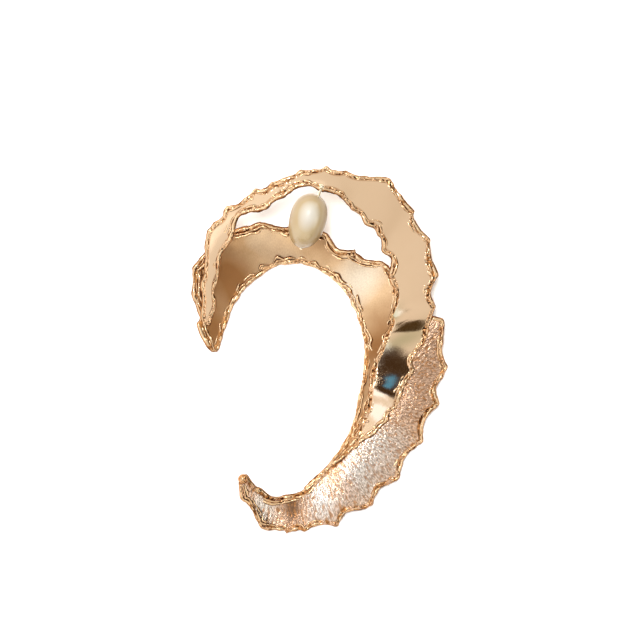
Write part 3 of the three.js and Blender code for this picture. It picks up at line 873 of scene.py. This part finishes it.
def mirror_grain(spots, sizes):
    """Very slight waves of a polished sheet, and the shallow ridges that turn what it mirrors."""
    points = spots["points"]
    waves = 0.012 * MM * lattice_noise(points, 4 * MM, sizes.seed + 41)
    for way, step, way_reach, step_reach, lean, rise in BAND_RIDGES:
        aside = spots["step"] - step
        off = ((spots["way"] - way - lean * aside) / way_reach) ** 2 + (aside / step_reach) ** 2
        waves += rise * MM * np.exp(-off)
    return with_rim_melt(spots, sizes, waves, np.zeros(len(points)), 0.7 * MM)


def blade_grain(spots, sizes):
    """Waves of the blade, and its melted skin: pebbles at its upper end that turn into wrinkles across it."""
    points, grid = spots["points"], spots["grid"]
    waves = 0.25 * MM * lattice_noise(points, 6 * MM, sizes.seed + 51)
    warp = 0.3 * MM * lattice_noise(points, 1.2 * MM, sizes.seed + 52)
    warped = grid + np.column_stack((warp, -warp, warp))
    across = lattice_noise(warped, (0.3 * MM, 1 * MM, 1 * MM), sizes.seed + 53)
    pebble = lattice_noise(warped, (0.36 * MM, 0.4 * MM, 1 * MM), sizes.seed + 54)
    blend = soft_step(spots["way"], 0.35, 0.65)
    skin = across * blend + pebble * (1 - blend)
    raised = waves + 0.06 * MM * skin
    # Painted shade in the valleys of the wrinkles and pebbles.
    painted_shade = 0.35 * soft_step(-skin, 0.05, 0.6)
    return with_rim_melt(spots, sizes, raised, painted_shade, 0.4 * MM)


def pearl_place(sheets, sizes):
    """The pearl's middle and axis, just clear of the collar's outer rim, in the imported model's place."""
    seat = rim_lines(sheets["collar"], np.array([PEARL_SEAT_TURN]), sizes)[1][0]
    axis = unit(np.array((math.sin(PEARL_TILT), math.cos(PEARL_TILT), math.tan(PEARL_LEAN))))
    rise = sizes.rim / 2 + sizes.seat_gap + sizes.pearl_width / 2 / math.cos(PEARL_LEAN)
    return seat + np.array((0, 0, rise)) + axis * PEARL_SEAT_SHARE * sizes.pearl_length, axis


def pin_line(sheets, sizes):
    """The pin's head, its direction down through the pearl, and the knot at its end."""
    rim = rim_lines(sheets["band"], np.array([PIN_TURN]), sizes)[0][0]
    front = sizes.rim / 2 + sizes.seat_gap + sizes.wire / 2
    head = rim + np.array((0, PIN_HEAD_RISE * sizes.rim, front))
    through = pearl_place(sheets, sizes)[0] + np.array((PIN_OFFSET_SHARE * sizes.pearl_width, 0, 0))
    direction = unit(through - head)
    reach = np.linalg.norm(through - head) + sizes.pearl_length / 2 + sizes.seat_gap
    return head, direction, head + direction * reach


def build_pearl(context):
    """The pearl: an egg a little off round.

    The bore isn't open yet: the cut along the pin leaves the mesh whole, and the wire runs on inside it.
    """
    sizes = context.scene.cuff_sizes
    sheets = make_sheets(sizes)
    shift = frame_shift(sheets, sizes)
    centre, axis = pearl_place(sheets, sizes)
    head, direction = pin_line(sheets, sizes)[:2]
    share = -np.cos(np.linspace(POLE_TURN, math.pi - POLE_TURN, PEARL_RINGS))
    radii = np.sqrt(np.clip(1 - np.abs(share) ** PEARL_BLUNTNESS, 0, 1)) * (1 + PEARL_FULLNESS * share)
    radii *= sizes.pearl_width / 2 / radii.max() * PEARL_SLIMNESS
    stations = share * sizes.pearl_length / 2 * PEARL_SHORTNESS
    pearl = round_body("pearl_body", centre + shift, axis, stations, radii, PEARL_SIDES)
    points = mesh_points(pearl)
    outward = unit(points - (centre + shift))
    swell = lattice_noise(points, 4.5 * MM, sizes.seed + 71)
    points = points + outward * (PEARL_UNEVENNESS * (swell - 1))[:, None]
    pearl.data.vertices.foreach_set("co", points.ravel())
    reach = np.array((-sizes.pearl_length, sizes.pearl_length))
    middle = head + direction * np.dot(centre - head, direction)
    radius = np.array((sizes.bore / 2, sizes.bore / 2))
    cutter = round_body("pearl_bore", middle + shift, direction, reach, radius, BORE_SIDES)
    cut = pearl.modifiers.new("bore", "BOOLEAN")
    cut.object = cutter
    cut.operation = "DIFFERENCE"
    cut.solver = "EXACT"
    context.view_layer.update()
    with context.temp_override(object=pearl, active_object=pearl, selected_objects=[pearl]):
        bpy.ops.object.modifier_apply(modifier=cut.name)
    bpy.data.objects.remove(cutter)
    return pearl


def build_pin(context):
    """The pin: a melted ball in front of the band's rim, its wire, and a small knot under the pearl."""
    sizes = context.scene.cuff_sizes
    sheets = make_sheets(sizes)
    shift = frame_shift(sheets, sizes)
    head, direction, knot = pin_line(sheets, sizes)
    length = np.linalg.norm(knot - head)
    wire = sizes.wire / 2

    def ball(middle, diameter, squash):
        angles = np.linspace(POLE_TURN, math.pi - POLE_TURN, BALL_RINGS)
        return middle - np.cos(angles) * diameter / 2 * squash, np.sin(angles) * diameter / 2

    head_at, head_radii = ball(0, sizes.pin_head, 0.92)
    knot_at, knot_radii = ball(length, sizes.pin_knot, 0.85)
    head_radii = np.where(head_at > 0, np.maximum(head_radii, wire), head_radii)
    knot_radii = np.where(knot_at < length, np.maximum(knot_radii, wire), knot_radii)
    wire_at = np.linspace(head_at[-1] + 0.05 * MM, knot_at[0] - 0.05 * MM, WIRE_RINGS)
    stations = np.concatenate((head_at, wire_at, knot_at))
    radii = np.concatenate((head_radii, np.full(WIRE_RINGS, wire), knot_radii))
    pin = round_body("pin", head + shift, direction, stations, radii * PIN_SLIMNESS, PIN_SIDES)
    points = mesh_points(pin)
    nudge = lattice_noise(points, 0.6 * MM, sizes.seed + 81)
    outward = unit(points - (head + shift + direction * stations.repeat(PIN_SIDES)[:, None]))
    points = points + outward * (PIN_UNEVENNESS * (nudge - 1))[:, None]
    pin.data.vertices.foreach_set("co", points.ravel())
    return pin


def new_material(name):
    """A material, its node tree and its shader."""
    material = bpy.data.materials.new(name)
    material.use_nodes = True
    tree = material.node_tree
    return material, tree, tree.nodes["Principled BSDF"]


def new_metal(name):
    """A metal's material, its node tree and its shader."""
    material, tree, shader = new_material(name)
    shader.inputs["Metallic"].default_value = 1
    return material, tree, shader


def finish(tree, shader, tint, gloss, relief=None):
    """Gives a shader its colour, its roughness and, if there is one, its bump."""
    tree.links.new(tint, shader.inputs["Base Color"])
    tree.links.new(gloss, shader.inputs["Roughness"])
    if relief is not None:
        tree.links.new(relief, shader.inputs["Normal"])


def add_node(tree, kind, **values):
    """A new node with some of its settings."""
    node = tree.nodes.new(kind)
    for key, value in values.items():
        setattr(node, key, value)
    return node


def object_coordinates(tree):
    """Places on the piece, in metres."""
    return add_node(tree, "ShaderNodeTexCoord").outputs["Object"]


def attribute(tree, name, output):
    """The named values that a mesh keeps on its points."""
    return add_node(tree, "ShaderNodeAttribute", attribute_name=name).outputs[output]


def stretched(tree, coordinates, scale, location=(0, 0, 0), turn=0):
    """Coordinates scaled, turned round Z and then moved."""
    node = add_node(tree, "ShaderNodeMapping")
    node.inputs["Scale"].default_value = scale
    node.inputs["Location"].default_value = location
    node.inputs["Rotation"].default_value = (0, 0, turn)
    tree.links.new(coordinates, node.inputs["Vector"])
    return node.outputs["Vector"]


def noise_node(tree, coordinates, scale, detail=2.0, roughness=0.5, output="Fac"):
    """Soft random values over coordinates."""
    node = add_node(tree, "ShaderNodeTexNoise")
    node.inputs["Scale"].default_value = scale
    node.inputs["Detail"].default_value = detail
    node.inputs["Roughness"].default_value = roughness
    tree.links.new(coordinates, node.inputs["Vector"])
    return node.outputs[output]


def mix_colour(tree, factor, first, second):
    """The first colour where the factor is 0 and the second where it is 1."""
    node = add_node(tree, "ShaderNodeMix", data_type="RGBA")
    # The colour sockets of this node share their names with others, so they are picked by their place.
    first_socket, second_socket, result = node.inputs[6], node.inputs[7], node.outputs[2]
    for socket, value in ((node.inputs["Factor"], factor), (first_socket, first), (second_socket, second)):
        if isinstance(value, bpy.types.NodeSocket):
            tree.links.new(value, socket)
        elif isinstance(value, (int, float)):
            socket.default_value = value
        else:
            socket.default_value = (*value, 1)
    return result


def map_range(tree, source, start, end, low, high):
    """A value remapped from start..end to low..high, held at both ends."""
    node = add_node(tree, "ShaderNodeMapRange")
    for socket, value in (("From Min", start), ("From Max", end), ("To Min", low), ("To Max", high)):
        node.inputs[socket].default_value = value
    tree.links.new(source, node.inputs["Value"])
    return node.outputs["Result"]


def bump_node(tree, height, strength, distance):
    """Fine relief from a height."""
    node = add_node(tree, "ShaderNodeBump")
    node.inputs["Strength"].default_value = strength
    node.inputs["Distance"].default_value = distance
    tree.links.new(height, node.inputs["Height"])
    return node.outputs["Normal"]


def with_painted_shade(tree, tint, colours):
    """A colour with painted shade: amber on the sides of the creases and rims, dark at the bottom of the
    creases.
    """
    painted_shade = attribute(tree, "painted_shade", "Fac")
    warm = mix_colour(tree, map_range(tree, painted_shade, 0, 0.5, 0, 1), tint, colours.amber_painted_shade)
    return mix_colour(tree, map_range(tree, painted_shade, 0.5, 1, 0, 1), warm, colours.painted_shade)


def with_painted_light(tree, tint, pale, deep):
    """A colour with painted light laid on: a pale colour for painted highlights and a deep one for painted
    shade, in patches.
    """
    painted_light = attribute(tree, "painted_light", "Fac")
    lighter = mix_colour(tree, map_range(tree, painted_light, 0, 1, 0, 1), tint, pale)
    return mix_colour(tree, map_range(tree, painted_light, -1, 0, 1, 0), lighter, deep)


def polished_gold(colours):
    """Mirror gold: faint wipe marks in its gloss, a few deeper patches of painted reflection, and painted shade
    beside its rims.
    """
    material, tree, shader = new_metal("polished_gold")
    where = object_coordinates(tree)
    smudges = noise_node(tree, where, 260, 3)
    tint = mix_colour(tree, map_range(tree, smudges, 0.3, 0.7, 0, 0.12), colours.polished, colours.satin)
    tint = with_painted_light(tree, tint, colours.satin_painted_highlight, colours.polished_painted_shade)
    wipes = noise_node(tree, stretched(tree, where, (1, 0.35, 1)), 5200, 2)
    gloss = map_range(tree, smudges, 0.3, 0.7, 0.05, 0.1)
    finish(tree, shader, with_painted_shade(tree, tint, colours), gloss, bump_node(tree, wipes, 0.12, 0.03 * MM))
    return material


def satin_gold(colours):
    """Brushed gold: a sandy grain drawn out across the sheet, random brown patches, painted reflections and
    painted shade.
    """
    material, tree, shader = new_metal("satin_gold")
    where = object_coordinates(tree)
    grid = attribute(tree, "grid", "Vector")
    patches = noise_node(tree, where, 170, 3)
    grain = noise_node(tree, stretched(tree, grid, (1, 0.45, 1)), 4200, 3, 0.65)
    tint = mix_colour(tree, map_range(tree, patches, 0.4, 0.7, 0, 0.35), colours.satin, colours.satin_deep_and_painted_shade)
    tint = with_painted_light(tree, tint, colours.satin_painted_highlight, colours.satin_deep_and_painted_shade)
    tint = mix_colour(tree, map_range(tree, grain, 0.35, 0.65, 0.25, 0), tint, colours.satin_deep_and_painted_shade)
    gloss = map_range(tree, patches, 0.3, 0.7, 0.3, 0.42)
    finish(tree, shader, with_painted_shade(tree, tint, colours), gloss, bump_node(tree, grain, 0.5, 0.05 * MM))
    return material


def textured_gold(colours):
    """Reticulated rose gold: close wrinkles that glint, painted shade in the folds between them, and painted
    light in patches.
    """
    material, tree, shader = new_metal("textured_gold")
    grid = attribute(tree, "grid", "Vector")
    grain = noise_node(tree, stretched(tree, grid, (1, 0.5, 1)), 2300, 3, 0.6)
    tint = with_painted_light(tree, colours.textured, colours.textured_painted_highlight, colours.textured_painted_shade)
    tint = mix_colour(tree, map_range(tree, grain, 0.4, 0.56, 0.65, 0), tint, colours.textured_painted_shade)
    gloss = map_range(tree, grain, 0.3, 0.7, 0.14, 0.22)
    finish(tree, shader, with_painted_shade(tree, tint, colours), gloss, bump_node(tree, grain, 0.8, 0.14 * MM))
    return material


def rim_gold(colours):
    """Melted rims: pale lips, partly a painted highlight, with painted shade warm on their flanks and dark in
    creases.
    """
    material, tree, shader = new_metal("melted_rim_gold")
    grain = noise_node(tree, object_coordinates(tree), 1500, 3)
    tint = mix_colour(tree, map_range(tree, grain, 0.3, 0.7, 0, 0.4), colours.rim, colours.polished)
    gloss = map_range(tree, grain, 0.3, 0.7, 0.12, 0.2)
    finish(tree, shader, with_painted_shade(tree, tint, colours), gloss, bump_node(tree, grain, 0.25, 0.06 * MM))
    return material


def pearl_lustre(colours):
    """Nacre: a cloudy cream body with a thin film's colours, painted shade in tan low on its sides,
    and a painted highlight paler at its top.

    The clear coat over it fades towards the outline.
    """
    material, tree, shader = new_material("pearl_lustre")
    where = object_coordinates(tree)
    clouds = noise_node(tree, where, 190, 3)
    split = add_node(tree, "ShaderNodeSeparateXYZ")
    tree.links.new(where, split.inputs["Vector"])
    low, high = (corner[2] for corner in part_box("pearl"))
    shade_low, shade_high = (low + share * (high - low) for share in PEARL_SHADE_SPAN)
    highlight_low, highlight_high = (low + share * (high - low) for share in PEARL_HIGHLIGHT_SPAN)
    # Painted shade: tan low on the pearl's sides, cream towards its top.
    depth = map_range(tree, split.outputs["Z"], shade_low, shade_high, 1, 0)
    tint = mix_colour(tree, depth, colours.pearl, colours.pearl_tan_and_painted_shade)
    tint = mix_colour(tree, map_range(tree, clouds, 0.35, 0.7, 0, 0.4), tint, colours.pearl_tan_and_painted_shade)
    # Painted highlight: paler still at the pearl's top.
    painted_highlight = map_range(tree, split.outputs["Z"], highlight_low, highlight_high, 0, 1)
    tint = mix_colour(tree, painted_highlight, tint, colours.pearl_painted_highlight)
    facing = add_node(tree, "ShaderNodeLayerWeight")
    facing.inputs["Blend"].default_value = 0.5
    fading = map_range(tree, facing.outputs["Facing"], 0.15, 0.75, 1, 0.15)
    tree.links.new(fading, shader.inputs["Coat Weight"])
    constants = {
        "Subsurface Weight": 0.2,
        "Subsurface Radius": (1.2 * MM, 0.9 * MM, 0.6 * MM),
        "Subsurface Scale": 1,
        "IOR": 1.4,
        "Thin Film Thickness": 380,
        "Thin Film IOR": 1.4,
        "Coat IOR": 1.7,
        "Coat Roughness": 0.26,
        "Coat Tint": (*colours.pearl_coat, 1),
    }
    for name, value in constants.items():
        shader.inputs[name].default_value = value
    ripple = noise_node(tree, where, 420, 2)
    gloss = map_range(tree, clouds, 0.3, 0.7, 0.25, 0.36)
    finish(tree, shader, tint, gloss, bump_node(tree, ripple, 0.1, 0.2 * MM))
    return material


def pin_gold(colours):
    """Polished pale gold wire with light handling marks."""
    material, tree, shader = new_metal("pale_gold")
    marks = noise_node(tree, object_coordinates(tree), 1200, 2)
    tint = mix_colour(tree, map_range(tree, marks, 0.3, 0.7, 0, 0.3), colours.pin, colours.satin)
    finish(tree, shader, tint, map_range(tree, marks, 0.3, 0.7, 0.14, 0.26))
    return material


def floor_paper(colours):
    """Matt pale paper, faintly mottled."""
    material, tree, shader = new_material("floor_paper")
    mottle = noise_node(tree, object_coordinates(tree), 60, 4)
    tint = mix_colour(tree, map_range(tree, mottle, 0.3, 0.7, 0, 0.2), colours.floor, colours.floor_mottle)
    tree.links.new(tint, shader.inputs["Base Color"])
    shader.inputs["Roughness"].default_value = 0.9
    return material


class CUFF_OT_collar(bpy.types.Operator):
    """Build the satin collar round the ear hole, with its melted rim"""

    bl_idname = "ear_cuff.collar"
    bl_label = "Collar"

    def execute(self, context):
        colours = context.scene.cuff_colours
        sheet = build_sheet(context, "collar", "collar_sheet", satin_grain)
        settle(sheet, "satin_gold", satin_gold(colours), "cuff_frame")
        rim = build_rim(context, "collar", "collar_rim")
        settle(rim, "melted_rim", rim_gold(colours), "cuff_frame")
        return {"FINISHED"}


class CUFF_OT_band(bpy.types.Operator):
    """Build the polished band in front of the collar, with its melted rim"""

    bl_idname = "ear_cuff.band"
    bl_label = "Polished Band"

    def execute(self, context):
        colours = context.scene.cuff_colours
        sheet = build_sheet(context, "band", "polished_band", mirror_grain)
        settle(sheet, "polished_gold", polished_gold(colours), "cuff_frame")
        rim = build_rim(context, "band", "band_rim")
        settle(rim, "melted_rim", rim_gold(colours), "cuff_frame")
        return {"FINISHED"}


class CUFF_OT_blade(bpy.types.Operator):
    """Build the textured blade that sweeps to the lower left, with its melted rim"""

    bl_idname = "ear_cuff.blade"
    bl_label = "Textured Blade"

    def execute(self, context):
        colours = context.scene.cuff_colours
        sheet = build_sheet(context, "blade", "textured_blade", blade_grain)
        settle(sheet, "textured_gold", textured_gold(colours), "cuff_frame")
        rim = build_rim(context, "blade", "blade_rim", with_knob=True)
        settle(rim, "melted_rim", rim_gold(colours), "cuff_frame")
        return {"FINISHED"}


class CUFF_OT_pearl(bpy.types.Operator):
    """Build the pearl"""

    bl_idname = "ear_cuff.pearl"
    bl_label = "Pearl"

    def execute(self, context):
        pearl = build_pearl(context)
        settle(pearl, "pearl", pearl_lustre(context.scene.cuff_colours), "pearl")
        return {"FINISHED"}


class CUFF_OT_pin(bpy.types.Operator):
    """Build the headed pin that holds the pearl"""

    bl_idname = "ear_cuff.pin"
    bl_label = "Pearl Pin"

    def execute(self, context):
        pin = build_pin(context)
        settle(pin, "pale_gold", pin_gold(context.scene.cuff_colours), "pearl_pin")
        return {"FINISHED"}


# Which way the room is brightest, and its brightness against how near a direction is to that way.
ROOM_BRIGHTEST = (-0.497, 0.2, 0.844)
ROOM_LEVELS = ((0.0, 0.05), (0.2, 0.2), (0.3, 0.45), (0.39, 0.8), (0.55, 0.87), (0.8, 0.93), (0.97, 1.12))

# How far the edges of the cards and lamps waver.
WAVER = 0.12

# The studio's cards and lamps, by the direction they are seen in: name, middle in x and y, turn in degrees,
# half sizes and colour. Where two meet, the later one covers the earlier.
SKY_LOBES = (
    ("white card", (-0.08, -0.18), 20, (0.15, 0.09), (1.35, 1.52, 1.8)),
    ("dark above the camera", (0.1, -0.06), 0, (0.125, 0.11), (0.055, 0.03, 0.012)),
    ("dark beside the camera", (0.06, 0.05), 0, (0.12, 0.1), (0.055, 0.03, 0.012)),
    ("blue reflection", (0.105, 0.05), 0, (0.03, 0.04), (0.1, 0.38, 0.75)),
    ("gold card", (0.08, -0.82), 0, (0.3, 0.14), (1.4, 1.25, 1.05)),
    ("dark for the wedge", (0.18, -0.51), 0, (0.14, 0.085), (0.08, 0.05, 0.02)),
    ("left window", (-0.72, -0.45), 0, (0.26, 0.4), (1.5, 1.5, 1.5)),
    ("soft peach card", (-0.1, 0.33), 0, (0.22, 0.12), (1.12, 1.1, 1.08)),
    ("key lamp", (-0.11, 0.12), 0, (0.095, 0.095), (15, 14.6, 13.8)),
    ("left lamp", (-0.6, 0.6), 0, (0.1, 0.1), (3.5, 3.3, 3)),
    ("right lamp", (0.65, 0.6), 0, (0.1, 0.1), (3.5, 3.3, 3)),
    ("low right lamp", (0.7, -0.36), 0, (0.14, 0.2), (2.2, 2.1, 1.95)),
)


def studio_world():
    """A soft pale room, brightest above and to the left, with its lamps and its pale and dark cards."""
    world = bpy.data.worlds.new("studio")
    bpy.context.scene.world = world
    world.use_nodes = True
    tree = world.node_tree
    background = tree.nodes["Background"]
    direction = add_node(tree, "ShaderNodeTexCoord").outputs["Generated"]
    lean = add_node(tree, "ShaderNodeVectorMath", operation="DOT_PRODUCT")
    lean.inputs[1].default_value = ROOM_BRIGHTEST
    tree.links.new(direction, lean.inputs[0])
    room = add_node(tree, "ShaderNodeValToRGB")
    ramp = room.color_ramp.elements
    while len(ramp) < len(ROOM_LEVELS):
        ramp.new(0.5)
    for element, (position, level) in zip(ramp, ROOM_LEVELS):
        element.position = position
        warmth = 1 - min(level, 1)
        element.color = (level, level * (0.975 - 0.2 * warmth), level * (0.94 - 0.45 * warmth), 1)
    tree.links.new(lean.outputs["Value"], room.inputs["Fac"])
    colour = room.outputs["Color"]
    ripple = noise_node(tree, direction, 30, 4, 0.6, "Color")
    shake = add_node(tree, "ShaderNodeVectorMath", operation="MULTIPLY_ADD")
    shake.inputs[1].default_value = (WAVER, WAVER, WAVER)
    tree.links.new(ripple, shake.inputs[0])
    tree.links.new(direction, shake.inputs[2])
    direction = stretched(tree, shake.outputs["Vector"], (1, 1, 1), (-WAVER / 2, -WAVER / 2, -WAVER / 2))
    for name, middle, turn, halves, shade in SKY_LOBES:
        angle = math.radians(turn)
        moved = stretched(tree, direction, (1, 1, 0), (-middle[0], -middle[1], 0))
        turned = stretched(tree, moved, (1, 1, 0), (0, 0, 0), -angle)
        scaled = stretched(tree, turned, (0.5 / halves[0], 0.5 / halves[1], 0))
        blob = add_node(tree, "ShaderNodeTexGradient", gradient_type="SPHERICAL", label=name)
        tree.links.new(scaled, blob.inputs["Vector"])
        weight = map_range(tree, blob.outputs["Fac"], 0.42, 0.58, 0, 1)
        colour = mix_colour(tree, weight, colour, shade)
    tree.links.new(colour, background.inputs["Color"])


class CUFF_OT_stage(bpy.types.Operator):
    """Set the pale floor, the soft studio light and the camera straight above the cuff"""

    bl_idname = "ear_cuff.stage"
    bl_label = "Stage"

    def execute(self, context):
        stage = context.scene.cuff_stage
        colours = context.scene.cuff_colours
        half = stage.floor_half
        corners = np.array([(-half, -half, 0), (half, -half, 0), (half, half, 0), (-half, half, 0)], float)
        corners[:, 2] = -stage.floor_drop
        floor = new_mesh("floor", corners, [[0, 1, 2, 3]])
        floor.data.materials.append(floor_paper(colours))
        studio_world()
        key = bpy.data.lights.new("key_softbox", "AREA")
        key.shape = "DISK"
        key.size = stage.key_size
        key.energy = stage.key_power
        key_light = bpy.data.objects.new("key_softbox", key)
        context.collection.objects.link(key_light)
        key_light.location = stage.key_place
        key_light.rotation_euler = (-Vector(stage.key_place)).to_track_quat("-Z", "Y").to_euler()
        key_light.visible_glossy = False
        lens = bpy.data.cameras.new("camera")
        lens.lens = stage.focal
        lens.sensor_width = stage.sensor
        lens.clip_start = 0.01
        camera = bpy.data.objects.new("camera", lens)
        context.collection.objects.link(camera)
        distance = stage.focal / stage.sensor * stage.frame_width
        camera.location = (0, stage.frame_rise, distance + stage.focus_rise)
        context.scene.camera = camera
        context.scene.view_settings.view_transform = "Standard"
        return {"FINISHED"}


class CUFF_PT_panel(bpy.types.Panel):
    """Lists the pieces of the ear cuff and their sizes"""

    bl_label = "Ear Cuff"
    bl_idname = "CUFF_PT_panel"
    bl_space_type = "VIEW_3D"
    bl_region_type = "UI"
    bl_category = "Ear Cuff"

    def draw(self, context):
        for operator in OPERATORS:
            self.layout.operator(operator.bl_idname)
        for group in (context.scene.cuff_sizes, context.scene.cuff_colours, context.scene.cuff_stage):
            for key in group.bl_rna.properties.keys():
                if key not in ("rna_type", "name"):
                    self.layout.prop(group, key)


OPERATORS = (CUFF_OT_stage, CUFF_OT_collar, CUFF_OT_band, CUFF_OT_blade, CUFF_OT_pearl, CUFF_OT_pin)
GROUPS = {"cuff_sizes": CuffSizes, "cuff_colours": CuffColours, "cuff_stage": CuffStage}


def register():
    for group in GROUPS.values():
        bpy.utils.register_class(group)
    for name, group in GROUPS.items():
        setattr(bpy.types.Scene, name, PointerProperty(type=group))
    for operator in OPERATORS:
        bpy.utils.register_class(operator)
    bpy.utils.register_class(CUFF_PT_panel)


def unregister():
    bpy.utils.unregister_class(CUFF_PT_panel)
    for operator in reversed(OPERATORS):
        bpy.utils.unregister_class(operator)
    for name, group in reversed(GROUPS.items()):
        delattr(bpy.types.Scene, name)
        bpy.utils.unregister_class(group)


def main():
    register()
    bpy.ops.ear_cuff.stage()
    bpy.ops.ear_cuff.collar()
    bpy.ops.ear_cuff.band()
    bpy.ops.ear_cuff.blade()
    bpy.ops.ear_cuff.pearl()
    bpy.ops.ear_cuff.pin()


if __name__ == "__main__":
    main()
